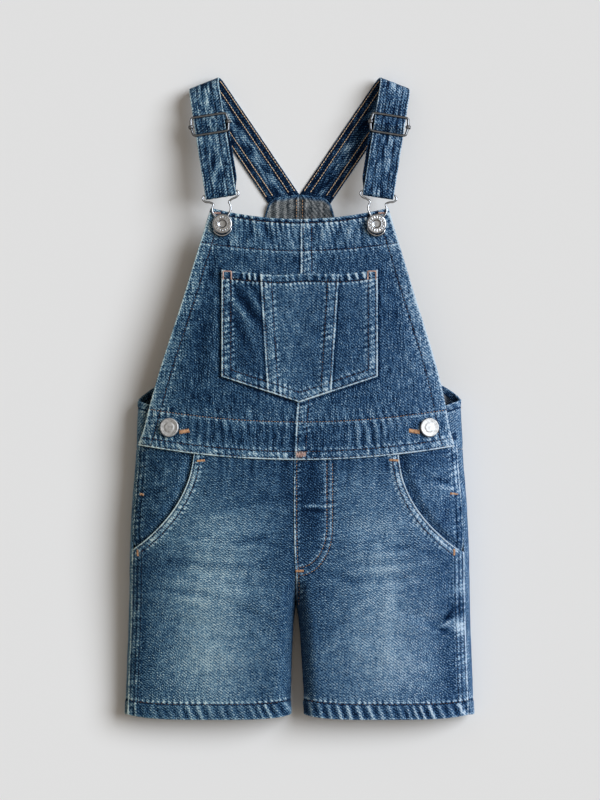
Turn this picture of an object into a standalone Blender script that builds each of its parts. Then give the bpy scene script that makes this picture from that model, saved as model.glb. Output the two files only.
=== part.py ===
"""Kids' denim dungarees with short legs, laid on their back and lightly filled out.

The garment lies along Y, hems at low Y and folded straps at high Y. X runs across it towards
the wearer's left, and Z is up from the surface it lies on. Lengths below are millimetres in the
garment's own frame, with y = 0 at the hems; build_mesh() moves the whole to the middle of its
length and turns millimetres into metres.

"u" is the distance from the middle line towards one side, so a left and a right piece share
one rule: x = side * u. The cloth keeps a small twist, which moves every seam sideways on the
symmetrical outline.
"""

import math

import bmesh
import bpy
import numpy as np
from mathutils import Vector

MM = 0.001
LENGTH = 561.8            # hem to the top of the folded straps

# Cloth and seams
PANEL = 1.5               # wall of a denim panel
HEM_WALL = 2.2            # wall where the cloth is turned and sewn double
GAP = 0.3                 # between the edges of neighbouring pieces
LAP = 0.5                 # between a piece and the one that it lies on
RAISED = 0.6              # how far a turned or felled edge stands up
EDGE = 1.2                # width of the first strip along a cut edge
STEP_DOWN = 0.6           # width over which a doubled edge steps down to one layer

# Heights along the body
CROTCH_Y = 100.0
CROTCH_RISE = 32.0        # length over which the rise seam climbs to the front
SLIT_Y = 197.0            # lower end of the side slit
WAIST_Y = 236.0           # back waist seam
BAND_MID_Y = 226.8        # lower edge of the front waistband at the middle
BAND_SIDE_LIFT = 12.0     # how much higher that edge is at the sides
BAND_SIDE_U = 136.0
BIB_TOP_MID_Y = 436.6
BIB_TOP_SIDE_LIFT = 9.6
BIB_TOP_SIDE_U = 77.0
HEM_DEPTH = 14.0
HEM_RISE = 4.0            # how far the hem climbs towards the leg's sides
HEM_RISE_FADE = 60.0

# Section shape
CROWN_POWER = 3.0         # superellipse power of the front's crown
INNER_ROLL = 14.0         # width of the roll at the inside of a leg
SIDE_ROLL = 19.0          # width of the roll between the flat back and the side
SEAM_INSET = 5.7          # side seam, in from the widest point
UNDERLAP_DROP = 4.2       # how deep the back passes under the front at the side slit
UNDERLAP_START = 9.0      # before the side seam, where the back begins to sink
UNDERLAP_RAMP = 8.0
SLIT_UNDERLAP = 15.0      # width of that underlap below the waist
SLIT_SINK = 13.0          # length over which the back sinks above the slit's lower end
SLIT_WIDEN_AT = 10.0      # above that end, where the underlap starts to widen
SLIT_WIDEN = 12.0
TAB_END_U = 100.0         # end of the button tab under the waistband
FACING_UNDERLAP = 12.0    # pocket facing beyond the pocket's edge
FACING_DROP = 2.7         # its outer face there, below the front's
FACING_RISE_AT = 2.0      # beyond the pocket's edge, where it starts to come up
FACING_RISE = 10.0
FACING_TRIM = 0.6         # kept off the side seam, where it climbs steeply
FACING_TAIL = 5.0         # width of its lowest rows, below the pocket's edge
BAND_FADE_Y = 214.0       # the raised pocket edge dies away under the waistband from here
BAND_FADE = 8.0

# Straps, measured in plan
STRAP_WIDTH = 27.0
STRAP_WALL = 2.2
FOLD_U = 82.9
FOLD_Y = 555.7
FOLD_TILT = math.radians(21.5)
FOLD_SLANT = math.radians(12.5)
FOLD_RADIUS = 10.5
SLIDER_AT = 42.2          # along the strap from its fold
HOOK_AT = 103.9
HOOK_BAR_Z = 35.0
STRAP_END_AT = -124.6     # middle of the end that is sewn to the back bib
STRAP_END_SKEW = math.tan(math.radians(-22.8))
STRAP_SKEW_AT = 80.0      # from the fold, where the skew of the end begins
BAR_CLEAR = 2.35          # from the middle of a bar to the middle of the strap round it
WAVE_FADE = 12.0          # length over which the strap leaves the slider's level
RETURN_DROP = 2.75        # between the strap and the end that comes back under it
RETURN_TURN = 16.0        # length over which the two part before the hook's bar
RETURN_DIP_AT = 20.0      # from the slider's middle, where the end drops to pass its bar

# Metal
SLIDER_WIRE = 1.8
SLIDER_HALF_WIDTH = 15.6
SLIDER_HALF_HEIGHT = 8.0
SLIDER_CORNER = 3.6
SLIDER_BULGE = 1.0
SLIDER_BAR_STEPS = 10
KNOB_RADIUS = 1.8         # knobs at the ends of the slider's middle bar
KNOB_FACE = 1.3
KNOB_OUT = 2.1
KNOB_BEVEL = 0.6
HOOK_WIRE = 1.8
HOOK_LIFT = 2.1           # middle of the wire above the bib at the button
HOOK_BAR_HALF = 6.0       # straight part of its bar, each way from the middle
BIB_BUTTON = (66.8, 431.8)
WAIST_BUTTON = (112.2, 254.9)
BUTTON_STEPS = 16

SIDES = {"left": 1, "right": -1}


def table(names, *rows):
    """Short table: one named column for each word in names."""
    return dict(zip(names.split(), np.array(rows, dtype=float).T))


# Sections from the hem to the top of the bib: half width, height of the widest point, height of
# the front's crown, and height of the fold at the inside of the leg.
BODY = table(
    "y half_width side_z crown_z inner_z",
    (0, 152.4, 13.0, 33.0, 13.5),
    (35, 151.4, 14.0, 36.5, 15.0),
    (70, 150.0, 16.0, 41.0, 17.0),
    (100, 149.0, 17.5, 45.0, 19.0),
    (150, 148.0, 19.0, 49.0, 21.0),
    (185, 146.4, 19.0, 50.5, 21.0),
    (225, 143.2, 18.5, 49.5, 21.0),
    (260, 141.8, 18.0, 47.0, 21.0),
    (300, 140.7, 17.0, 44.5, 21.0),
    (360, 139.2, 15.0, 40.0, 21.0),
    (446, 137.2, 12.0, 34.0, 21.0),
)

# Half of the gap between the legs.
LEG_GAP = table(
    "y half_gap",
    (0, 6.0),
    (35, 5.0),
    (70, 3.2),
    (92, 1.4),
    (100, 0.15),
)

# Sideways shift of the seams on the outline.
TWIST = table(
    "y shift",
    (0, -1.8),
    (100, -3.0),
    (200, -3.4),
    (240, -2.7),
    (296, -1.0),
    (446, 0.0),
)

# Soft folds across the thighs: middle, slant from level, half length, half width and height of
# each ridge; a negative height is a trough. Here x is signed, from right to left.
SOFT_FOLDS = table(
    "x y slant half_length half_width height",
    (-46, 173, 8, 34, 6.5, -1.1),
    (-62, 151, 5, 42, 7.5, 0.9),
    (-76, 128, -4, 38, 7.0, -1.0),
    (-52, 107, -12, 34, 7.5, 0.8),
    (-98, 84, -7, 30, 7.0, -1.1),
    (-58, 60, 4, 42, 8.5, 0.9),
    (50, 168, -10, 32, 6.5, -1.1),
    (64, 146, -6, 40, 7.5, 0.9),
    (86, 123, 4, 36, 7.0, -1.0),
    (54, 103, 12, 34, 7.5, 0.8),
    (112, 88, -16, 22, 6.0, -1.5),
    (68, 58, -5, 42, 8.5, 0.9),
)
FOLD_FREE = 0.86          # share of the half width beyond which the folds die away

# Curved edge of the hip pocket.
HIP_POCKET = table(
    "y u",
    (149.0, 141.5),
    (155.0, 133.6),
    (164.5, 122.9),
    (184.5, 105.9),
    (208.5, 93.9),
    (228.5, 89.6),
    (250.0, 88.0),
)

# Side edge of the front waistband and bib.
BIB_EDGE = table(
    "y u",
    (226.0, 137.0),
    (239.0, 136.3),
    (255.0, 132.2),
    (273.0, 128.5),
    (296.0, 122.9),
    (371.0, 100.1),
    (446.0, 77.4),
)

# Upper edge of the back, followed round the section from the middle of the back, under the
# arm, and round the side to the end of the button tab.
ARMHOLE = table(
    "around y",
    (0, 459.3),
    (14, 457.4),
    (28, 453.4),
    (31.5, 449),
    (35, 437),
    (41, 416),
    (49, 394),
    (59, 372),
    (71, 351),
    (86, 331),
    (103, 312.5),
    (120, 299),
    (137, 289),
    (150, 282),
    (162, 277.5),
    (175, 273.5),
    (205, 272),
)

# Wire dungaree hook: half width at each distance above the button, from the bar that the strap
# goes round down to the slot round the button's shank.
HOOK = table(
    "along half_width",
    (28.2, 15.2),
    (25.6, 15.9),
    (23.4, 14.3),
    (21.6, 9.4),
    (19.6, 6.9),
    (16.5, 7.9),
    (12.5, 8.0),
    (8.5, 6.2),
    (5.0, 4.4),
    (2.0, 5.4),
    (-2.0, 7.3),
    (-6.0, 7.1),
    (-9.0, 4.4),
)
HOOK_TIP = -10.4

# Bib pocket, taken from the middle line outwards.
POCKET_TOP_Y = 388.0
POCKET_TOP_CORNER_LIFT = 4.2
POCKET_HALF_WIDTH = 67.8
POCKET_POINT_Y = 276.6
POCKET_CORNER_Y = 299.0
POCKET_SEAM_TOP_U = 34.2
POCKET_SEAM_LOW_U = 27.6
POCKET_MOUTH_LIFT = 0.8   # how far the pocket's mouth stands open
POCKET_MOUTH = 0.1        # share of its height over which it opens

# Each button from the top down: radius and height above the cloth.
BIB_BUTTON_PROFILE = (
    (0.0, 5.6),
    (3.2, 5.6),
    (3.9, 6.3),
    (7.2, 6.3),
    (8.6, 5.5),
    (8.8, 4.6),
    (8.0, 3.9),
    (3.4, 3.7),
    (3.2, 1.0),
    (4.4, 0.3),
    (0.0, 0.3),
)
WAIST_BUTTON_PROFILE = (
    (0.0, 3.5),
    (3.0, 3.5),
    (4.2, 3.9),
    (6.8, 3.9),
    (8.2, 3.2),
    (8.4, 2.4),
    (7.6, 1.8),
    (3.4, 1.6),
    (3.4, 0.6),
    (0.0, 0.6),
)


# ---------------------------------------------------------------- reading tables and shapes

def at(rows, column, y, key="y"):
    """Value of a column at y, along a smooth cubic curve through the rows."""
    known = rows[key]
    values = rows[column]
    slopes = np.gradient(values, known)
    y = np.clip(np.asarray(y, dtype=float), known[0], known[-1])
    i = np.clip(np.searchsorted(known, y, side="right") - 1, 0, len(known) - 2)
    step = known[i + 1] - known[i]
    t = (y - known[i]) / step
    rise = t * t * (3 - 2 * t)
    start = t * (1 - t) ** 2
    end = t * t * (t - 1)
    return (values[i] * (1 - rise) + values[i + 1] * rise
            + step * (slopes[i] * start + slopes[i + 1] * end))


def smooth(t):
    """0 below 0, 1 above 1, and an even S between."""
    t = np.clip(t, 0, 1)
    return t * t * (3 - 2 * t)


def quarter(t):
    """Quarter circle from a vertical start at 0 to level at 1."""
    return np.sqrt(1 - (1 - np.clip(t, 0, 1)) ** 2)


def twist(y):
    return at(TWIST, "shift", y)


def band_y(u):
    """Lower edge of the front waistband."""
    return BAND_MID_Y + BAND_SIDE_LIFT * (u / BAND_SIDE_U) ** 2


def bib_top_y(u):
    return BIB_TOP_MID_Y + BIB_TOP_SIDE_LIFT * (u / BIB_TOP_SIDE_U) ** 2


def side_seam_u(side, y):
    return at(BODY, "half_width", y) - SEAM_INSET + side * twist(y)


def middle_u(side, y):
    """Where the left or right half begins: the inside of the leg, then the centre seam."""
    return at(LEG_GAP, "half_gap", y) + side * twist(y)


def crown_z(u, y):
    """Front's crown: a superellipse from the widest point up to the middle."""
    side_z = at(BODY, "side_z", y)
    top_z = at(BODY, "crown_z", y)
    t = np.clip(np.abs(u) / at(BODY, "half_width", y), 0, 1)
    return side_z + (top_z - side_z) * (1 - t ** CROWN_POWER) ** (1 / CROWN_POWER)


def soft_folds(x, y):
    """Height of the soft folds: each a bell across its width and along its length."""
    height = 0.0
    for k, slant in enumerate(np.radians(SOFT_FOLDS["slant"])):
        right = x - SOFT_FOLDS["x"][k]
        up = y - SOFT_FOLDS["y"][k]
        along = (right * math.cos(slant) + up * math.sin(slant)) / SOFT_FOLDS["half_length"][k]
        across = (up * math.cos(slant) - right * math.sin(slant)) / SOFT_FOLDS["half_width"][k]
        height = height + SOFT_FOLDS["height"][k] * np.exp(-along ** 2 - across ** 2)
    t = np.abs(x) / at(BODY, "half_width", y)
    return height * (1 - smooth((t - FOLD_FREE) / 0.07))


def front_z(side, u, y):
    """Outer face of the front, with the roll into the gap between the legs."""
    crown = crown_z(u, y) + soft_folds(side * u, y)
    inner = at(BODY, "inner_z", y)
    inner = inner + (crown - inner) * smooth((y - CROTCH_Y) / CROTCH_RISE)
    return inner + (crown - inner) * quarter((u - middle_u(side, y)) / INNER_ROLL)


def back_z(side, u, y):
    """Outer face of the back inside the side roll: flat on the ground but for the crotch."""
    inner = at(BODY, "inner_z", y) * (1 - smooth((y - CROTCH_Y) / CROTCH_RISE))
    return inner * (1 - quarter((u - middle_u(side, y)) / INNER_ROLL))


# ---------------------------------------------------------------- paths across the garment

FINE = 400                # points of a path before its columns are picked
ROLL_START = FINE // 2 - 1                # point of a back path where the side roll begins
WIDEST = ROLL_START + FINE // 4 - 1       # and where it is widest


def both_ends(count):
    """Fractions from 0 to 1, close together at both ends."""
    return (1 - np.cos(np.linspace(0, math.pi, count))) / 2


def front_path(side, rule_y, start_u, end_u, rule_lift=None):
    """Path over the front from start_u out to end_u; y and lift are rules of u."""
    u = start_u + (end_u - start_u) * both_ends(FINE)
    y = rule_y(u)
    path = np.column_stack((u, y, front_z(side, u, y)))
    if rule_lift is None:
        return path
    return lifted(path, rule_lift(u))


def back_path(side, y, end_u, drop=0.0):
    """Path from the middle of the back, along the ground, round the side and over to end_u.

    drop sinks the stretch beyond the side seam under the front piece.
    """
    half = float(at(BODY, "half_width", y))
    side_z = float(at(BODY, "side_z", y))
    start = float(middle_u(side, y))
    flat_u = start + (half - SIDE_ROLL - start) * (1 - np.cos(np.linspace(0, math.pi / 2, FINE // 2)))
    angle = np.linspace(0, math.pi / 2, FINE // 4)[1:]
    over = np.linspace(0, 1, FINE // 2)[1:]
    over_u = half - (half - end_u) * over ** 2
    u = np.concatenate((flat_u, half - SIDE_ROLL + SIDE_ROLL * np.sin(angle), over_u))
    z = np.concatenate((
        back_z(side, flat_u, y),
        side_z * (1 - np.cos(angle)),
        crown_z(over_u, y),
    ))
    path = np.column_stack((u, np.full(len(u), float(y)), z))
    if not drop:
        return path
    around = distance(path)
    seam = np.interp(-side_seam_u(side, y), -over_u, around[-len(over_u):])
    sunk = smooth((around - seam + UNDERLAP_START) / UNDERLAP_RAMP)
    return lifted(path, -drop * sunk, on_back=True)


def distance(path):
    """Distance along a path at each of its points."""
    return np.concatenate(([0.0], np.cumsum(np.linalg.norm(np.diff(path, axis=0), axis=1))))


def lifted(path, lift, on_back=False):
    """Path moved out of the garment, square to it in the section's plane.

    Outwards is left of a path over the front, and right of one along the back.
    """
    along = np.gradient(path[:, [0, 2]], axis=0)
    along /= np.linalg.norm(along, axis=1, keepdims=True)
    hand = -1.0 if on_back else 1.0
    moved = path.copy()
    moved[:, 0] -= hand * along[:, 1] * lift
    moved[:, 2] += hand * along[:, 0] * lift
    return moved


def pick(path, places):
    """Points of the path at the given distances along it."""
    around = distance(path)
    return np.column_stack([np.interp(places, around, path[:, k]) for k in range(3)])


def columns(path, near, count, far):
    """Distances along a path: fixed ones from each end, and count even steps between."""
    total = distance(path)[-1]
    near = np.array(near)
    far = total - np.array(far)
    between = np.linspace(near[-1], far[0], count + 2)[1:-1]
    return np.concatenate((near, between, far))


def back_columns(path):
    """Distances along a back path: the inner roll, the flat, the side roll and over the side."""
    around = distance(path)
    flat = np.linspace(ROLL_NEAR[-1], around[ROLL_START], BACK_FLAT + 2)[1:-1]
    roll = np.linspace(around[ROLL_START], around[WIDEST], BACK_ROLL)
    last = around[-1] - GAP / 2
    over = np.linspace(around[WIDEST], last - EDGE, BACK_OVER + 1)[1:]
    return np.concatenate((ROLL_NEAR, flat, roll, over, [last]))


def hem_shift(grid, on_back):
    """Lifts the hem at the sides of each leg, where the cloth rolls round to the back."""
    u = grid[:, :, 0]
    middle = (u[:, :1] + u[:, -1:]) / 2
    half = np.abs(u[:, -1:] - u[:, :1]) / 2
    rise = np.ones_like(u) if on_back else np.clip(np.abs(u - middle) / half, 0, 1) ** 4
    fade = 1 - smooth(grid[:, :, 1] / HEM_RISE_FADE)
    grid[:, :, 1] += HEM_RISE * rise * fade
    return grid


# ---------------------------------------------------------------- Blender objects

def collection(name):
    group = bpy.data.collections.new(name)
    bpy.context.scene.collection.children.link(group)
    return group


def finish(name, colour, roughness, metallic=0.0):
    """Principled material."""
    material = bpy.data.materials.new(name)
    material.use_nodes = True
    shader = material.node_tree.nodes["Principled BSDF"]
    shader.inputs["Base Color"].default_value = (*colour, 1.0)
    shader.inputs["Roughness"].default_value = roughness
    shader.inputs["Metallic"].default_value = metallic
    return material


def build_mesh(name, points, faces):
    mesh = bpy.data.meshes.new(name)
    placed = (np.asarray(points, dtype=float) - (0, LENGTH / 2, 0)) * MM
    mesh.from_pydata(placed.tolist(), [], faces)
    mesh.update()
    return mesh


def add_object(name, mesh, group, material):
    thing = bpy.data.objects.new(name, mesh)
    mesh.materials.append(material)
    group.objects.link(thing)
    return thing


def wall(name, side, grid, group, material, thickness=PANEL, thick=None, offset=-1.0, up=True):
    """Cloth piece: an open grid of outer points, given its wall by Solidify.

    grid is rows x columns x (u, y, z); thick gives a wall for each row and column where the
    cloth is turned double; up says that the first column's outer face looks up.
    """
    points = grid.copy()
    points[:, :, 0] *= side
    rows, cols = points.shape[:2]
    index = np.arange(rows * cols).reshape(rows, cols)
    quads = np.stack((index[:-1, :-1], index[:-1, 1:], index[1:, 1:], index[1:, :-1]), axis=-1)
    middle = rows // 2
    corner = points[middle, 1]
    normal = np.cross(points[middle, 2] - corner, points[middle + 1, 1] - corner)
    if (normal[2] > 0) != up:
        quads = quads[..., ::-1]
    mesh = build_mesh(name, points.reshape(-1, 3), quads.reshape(-1, 4).tolist())
    piece = add_object(name, mesh, group, material)
    solid = piece.modifiers.new("Wall", "SOLIDIFY")
    solid.thickness = thickness * MM
    solid.offset = offset
    solid.use_even_offset = False
    solid.use_rim = True
    if thick is not None:
        weights = np.asarray(thick).reshape(-1)
        solid.thickness = weights.max() * MM
        vertex_group = piece.vertex_groups.new(name="cloth layers")
        for value in np.unique(weights):
            members = np.flatnonzero(weights == value).tolist()
            vertex_group.add(members, float(value / weights.max()), "REPLACE")
        solid.vertex_group = vertex_group.name
    mesh.shade_smooth()
    return piece


def wire(name, points, diameter, closed, group, material):
    """Round wire along the given points, made a mesh with welded caps."""
    curve = bpy.data.curves.new(name, "CURVE")
    curve.dimensions = "3D"
    curve.bevel_depth = diameter / 2 * MM
    curve.bevel_resolution = 2
    curve.use_fill_caps = not closed
    spline = curve.splines.new("POLY")
    spline.points.add(len(points) - 1)
    placed = (np.asarray(points, dtype=float) - (0, LENGTH / 2, 0)) * MM
    for point, place in zip(spline.points, placed):
        point.co = (*place, 1.0)
    spline.use_cyclic_u = closed
    guide = bpy.data.objects.new(name + "_path", curve)
    group.objects.link(guide)
    bpy.context.view_layer.update()
    evaluated = guide.evaluated_get(bpy.context.evaluated_depsgraph_get())
    mesh = bpy.data.meshes.new_from_object(evaluated)
    mesh.name = name
    bpy.data.objects.remove(guide)
    bm = bmesh.new()
    bm.from_mesh(mesh)
    bmesh.ops.remove_doubles(bm, verts=bm.verts, dist=1e-6)
    bmesh.ops.recalc_face_normals(bm, faces=bm.faces)
    bm.to_mesh(mesh)
    bm.free()
    mesh.materials.clear()
    piece = add_object(name, mesh, group, material)
    mesh.shade_smooth()
    return piece


def turned(name, profile, place, axis, steps, group, material):
    """Turned solid: a profile of (radius, height) from the top down, screwed round its axis."""
    points = [(radius * MM, 0.0, height * MM) for radius, height in profile]
    mesh = bpy.data.meshes.new(name)
    mesh.from_pydata(points, [(i, i + 1) for i in range(len(points) - 1)], [])
    piece = add_object(name, mesh, group, material)
    screw = piece.modifiers.new("Turned", "SCREW")
    screw.steps = steps
    screw.render_steps = steps
    screw.use_merge_vertices = True
    screw.merge_threshold = 0.0001
    screw.use_normal_calculate = True
    piece.location = Vector((place - np.array((0, LENGTH / 2, 0))) * MM)
    piece.rotation_euler = Vector(axis).to_track_quat("Z", "Y").to_euler()
    return piece


# ---------------------------------------------------------------- legs and pockets

HEM_ROWS = (0.0, EDGE, HEM_DEPTH - STEP_DOWN, HEM_DEPTH)
FRONT_ROWS = (
    *HEM_ROWS, 24.0, 34.0, 44.0, 54.0, 64.0, 74.0, 84.0, 93.0, 100.0, 106.0, 113.0, 121.0, 130.0,
    139.0, 149.0, 155.0, 162.0, 171.0, 180.0, 189.0, 199.0, 209.0, 220.0, 231.0,
)
BACK_ROWS = (
    *HEM_ROWS, 34.0, 60.0, 84.0, 95.0, 100.0, 105.0, 112.0, 121.0, 132.0, 158.0, 184.0, 197.0,
    201.0, 205.0, 210.0, 220.0,
)
FACING_ROWS = (141.0, 148.0, 155.0, 163.0, 172.0, 183.0, 195.0, 207.0, 219.0, 231.0)
FACING_COLUMNS = 10
FACING_LOW_Y = 151.0      # rows that end below this stay clear of the seam
FACING_TAIL_TRIM = 4.0
FRONT_TOP = 237.0         # the front runs on under the waistband
POCKET_HEM = 8.0
ROLL_NEAR = (GAP / 2, GAP / 2 + EDGE, 7.0, 13.0, 20.0)
FRONT_FAR = (26.0, 17.0, POCKET_HEM + STEP_DOWN, POCKET_HEM, GAP / 2 + EDGE, GAP / 2)
BACK_FLAT = 2             # columns between the inner roll and the side roll
BACK_ROLL = 5
BACK_OVER = 4


def band_climb(y):
    """How far the front's rows have bent from level at the crotch to the waistband's curve."""
    start = CROTCH_Y + CROTCH_RISE
    return smooth((y - start) / (FRONT_TOP - start))


def front_row(y):
    """Rule of u for a row of the front."""
    climb = band_climb(y)

    def row(u):
        return y + (band_y(u) - BAND_MID_Y) * climb
    return row


def row_meets(row, y, edge):
    """u and y where a row of the front meets an edge, which is a rule of y."""
    meet_y = y
    for _ in range(6):
        meet_u = float(edge(meet_y))
        meet_y = float(row(meet_u))
    return meet_u, meet_y


def hip_pocket_u(side, y):
    return float(at(HIP_POCKET, "u", y) + side * twist(y))


def leg_wall(name, side, picked, strip_columns, group, material, on_back):
    """Shared end of the legs: raise the turned edges, shape the hem and make the wall.

    strip_columns is the number of columns along the side seam and pocket that stand up.
    """
    flat = np.array([pick(path, places) for path, places in picked])
    proud = np.array([pick(lifted(path, 1.0, on_back), places) for path, places in picked])
    doubled = np.zeros(flat.shape[:2])
    doubled[:len(HEM_ROWS) - 1] = 1.0
    if strip_columns:
        under_band = 1 - smooth((flat[:, -strip_columns:, 1] - BAND_FADE_Y) / BAND_FADE)
        doubled[:, -strip_columns:] = np.maximum(doubled[:, -strip_columns:], under_band)
    lift = doubled if not on_back else np.zeros(flat.shape[:2])
    grid = flat + (proud - flat) * (RAISED * lift)[..., None]
    thick = PANEL + (HEM_WALL - PANEL) * (doubled > 0.5)
    return wall(name, side, hem_shift(grid, on_back), group, material, thick=thick,
                up=not on_back)


def front_leg(name, side, group, material):
    """Front of a leg, from the hem to under the waistband, cut away along the hip pocket."""
    picked = []
    for y in (*FRONT_ROWS, FRONT_TOP - EDGE, FRONT_TOP):
        row = front_row(y)
        end_u, end_y = row_meets(row, y, lambda at_y: side_seam_u(side, at_y))
        if end_y > HIP_POCKET["y"][0]:
            end_u, end_y = row_meets(row, y, lambda at_y: hip_pocket_u(side, at_y))
        path = front_path(side, row, float(middle_u(side, y)), end_u)
        picked.append((path, columns(path, ROLL_NEAR, 3, FRONT_FAR)))
    return leg_wall(name, side, picked, 3, group, material, on_back=False)


def hip_facing(name, side, group, material):
    """Pocket facing: sinks under the curved edge and comes up to the side seam."""
    grid = []
    for y in (*FACING_ROWS, FRONT_TOP):
        row = front_row(y)
        end, end_y = row_meets(row, y, lambda at_y: side_seam_u(side, at_y))
        edge, edge_y = row_meets(row, y, lambda at_y: hip_pocket_u(side, at_y))
        start = edge - FACING_UNDERLAP
        if end_y < FACING_LOW_Y:
            end -= FACING_TAIL_TRIM
            start = end - FACING_TAIL

        def sunk(u, edge=edge):
            return -FACING_DROP * (1 - smooth((u - edge - FACING_RISE_AT) / FACING_RISE))

        path = front_path(side, row, start, end, sunk)
        total = distance(path)[-1]
        width = total - GAP - FACING_TRIM
        grid.append(pick(path, GAP / 2 + width * both_ends(FACING_COLUMNS)))
    return wall(name, side, np.array(grid), group, material)


def back_leg(name, side, group, material):
    """Back of a leg: flat on the ground, round the side, and under the front at the slit."""
    picked = []
    for y in (*BACK_ROWS, WAIST_Y - EDGE, WAIST_Y):
        sink = smooth((y - SLIT_Y) / SLIT_SINK)
        under = smooth((y - SLIT_Y - SLIT_WIDEN_AT) / SLIT_WIDEN)
        end_u = float(side_seam_u(side, y)) - SLIT_UNDERLAP * under
        path = back_path(side, y, end_u, UNDERLAP_DROP * sink)
        picked.append((path, back_columns(path)))
    return leg_wall(name, side, picked, 0, group, material, on_back=True)


BACK_BIB_ROWS = 10
BACK_BIB_COLUMNS = (0.0, EDGE, 14.0, 29.0, 33.0, 38.5, 46.0, 56.0, 70.0, 87.0, 106.0, 124.0, 134.0,
                    142.0, 149.0, 156.0, 164.0, 174.0, 189.0, 205.0 - EDGE, 205.0)


def back_bib(name, side, group, material):
    """Back above the waist: narrow at the straps, with the tab round the side at the waist."""
    around = np.array(BACK_BIB_COLUMNS)
    fractions = around / around[-1]
    bottom = WAIST_Y + GAP
    grid = []
    for step in np.linspace(0, 1, BACK_BIB_ROWS):
        row = []
        for share, place in zip(fractions, around):
            y = bottom + step * (float(at(ARMHOLE, "y", place, key="around")) - bottom)
            path = back_path(side, y, TAB_END_U + side * float(twist(y)), UNDERLAP_DROP)
            total = distance(path)[-1]
            spot = GAP / 2 + share * (total - GAP / 2)
            row.append(pick(path, np.array([spot]))[0])
        grid.append(row)
    return wall(name, side, np.array(grid), group, material, up=False)


# ---------------------------------------------------------------- bib and its pocket

BIB_LIFT = PANEL + LAP
BIB_HEIGHT = BIB_TOP_MID_Y - BAND_MID_Y
BIB_COLUMNS = (0.0, 0.012, 0.13, 0.28, 0.44, 0.59, 0.72, 0.82, 0.895, 0.903, 0.95, 0.988, 1.0)
BIB_ROWS = (0.0, EDGE, 8.0, 8.0 + STEP_DOWN, 22.0, 37.0, 54.0, 73.0, 94.0, 117.0, 141.0, 165.0,
            185.0, 199.0, BIB_HEIGHT - EDGE, BIB_HEIGHT)
BIB_HEM_COLUMNS = 4       # along the side edge, turned and sewn double
BAND_SEAM_ROWS = 3        # along the waistband's lapped lower edge
POCKET_LIFT = BIB_LIFT + PANEL + LAP
POCKET_ROWS = (0.0, 0.03, 0.12, 0.25, 0.4, 0.55, 0.7, 0.82, 0.9, 0.915, 0.985, 1.0)
POCKET_COLUMNS = 6


def bib_grid(side, shares, steps, lift):
    """Grid over the bib: shares run from the centre seam to the side edge, steps upwards."""
    grid = np.zeros((len(steps), len(shares), 3))
    for r, step in enumerate(steps):
        for c, share in enumerate(shares):
            y = BAND_MID_Y + step * BIB_HEIGHT
            for _ in range(5):
                start = GAP / 2 + side * float(twist(y))
                edge = float(at(BIB_EDGE, "u", y) + side * twist(y))
                u = start + share * (edge - start)
                y = band_y(u) + step * (bib_top_y(u) - band_y(u))
            grid[r, c] = surface_point(side, u, y, lift)
    return grid


def surface_point(side, u, y, lift):
    """Point above the front's outer face, square to it."""
    step = 0.5
    z = float(front_z(side, np.array(u), y))
    slope_u = float(front_z(side, np.array(u + step), y) - front_z(side, np.array(u - step), y))
    slope_y = float(front_z(side, np.array(u), y + step) - front_z(side, np.array(u), y - step))
    normal = np.array((-slope_u / (2 * step), -slope_y / (2 * step), 1.0))
    normal /= np.linalg.norm(normal)
    return np.array((u, y, z)) + lift * normal


def bib(name, side, group, material):
    """Half of the bib and waistband: one cloth from the band's lower edge to the bib's top."""
    grid = bib_grid(side, BIB_COLUMNS, np.array(BIB_ROWS) / BIB_HEIGHT, BIB_LIFT)
    thick = np.full(grid.shape[:2], PANEL)
    raised = np.zeros(grid.shape[:2])
    raised[:, -BIB_HEM_COLUMNS:] = RAISED
    raised[:BAND_SEAM_ROWS] = RAISED
    grid[:, :, 2] += raised
    thick += raised
    return wall(name, side, grid, group, material, thick=thick)


def pocket_panel(name, first, last, group, material):
    """Panel of the bib pocket between two edges; each edge is a rule of y that gives x."""
    grid = []
    for step in POCKET_ROWS:
        row = []
        for share in np.linspace(0, 1, POCKET_COLUMNS):
            y = POCKET_CORNER_Y
            for _ in range(4):
                x = first(y) + share * (last(y) - first(y))
                low = pocket_low_y(x)
                y = low + step * (pocket_top_y(x) - low)
            side = 1 if x > twist(y) else -1
            mouth = POCKET_MOUTH_LIFT * float(smooth((step - 1 + POCKET_MOUTH) / POCKET_MOUTH))
            place = surface_point(side, side * x, y, POCKET_LIFT + mouth)
            row.append((side * place[0], place[1], place[2]))
        grid.append(row)
    return wall(name, 1, np.array(grid), group, material)


def pocket_low_y(x):
    slope = (POCKET_CORNER_Y - POCKET_POINT_Y) / POCKET_HALF_WIDTH
    return POCKET_POINT_Y + slope * abs(x)


def pocket_top_y(x):
    return POCKET_TOP_Y + POCKET_TOP_CORNER_LIFT * (abs(x) / POCKET_HALF_WIDTH) ** 3


def pocket_seam(sign, gap):
    """Rule for a felled seam of the pocket, leaning out towards the mouth."""
    def rule(y):
        t = (y - POCKET_CORNER_Y) / (POCKET_TOP_Y - POCKET_CORNER_Y)
        u = POCKET_SEAM_LOW_U + (POCKET_SEAM_TOP_U - POCKET_SEAM_LOW_U) * t
        return sign * u + gap
    return rule


def pocket_edge(sign):
    """Rule for the pocket's straight side, the same at every height."""
    def rule(_y):
        return sign * POCKET_HALF_WIDTH
    return rule


def bib_pocket(group, material):
    half = GAP / 2
    pocket_panel("bib_pocket_right", pocket_edge(-1), pocket_seam(-1, -half), group, material)
    pocket_panel("bib_pocket_centre", pocket_seam(-1, half), pocket_seam(1, -half), group, material)
    pocket_panel("bib_pocket_left", pocket_seam(1, half), pocket_edge(1), group, material)


# ---------------------------------------------------------------- straps

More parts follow.
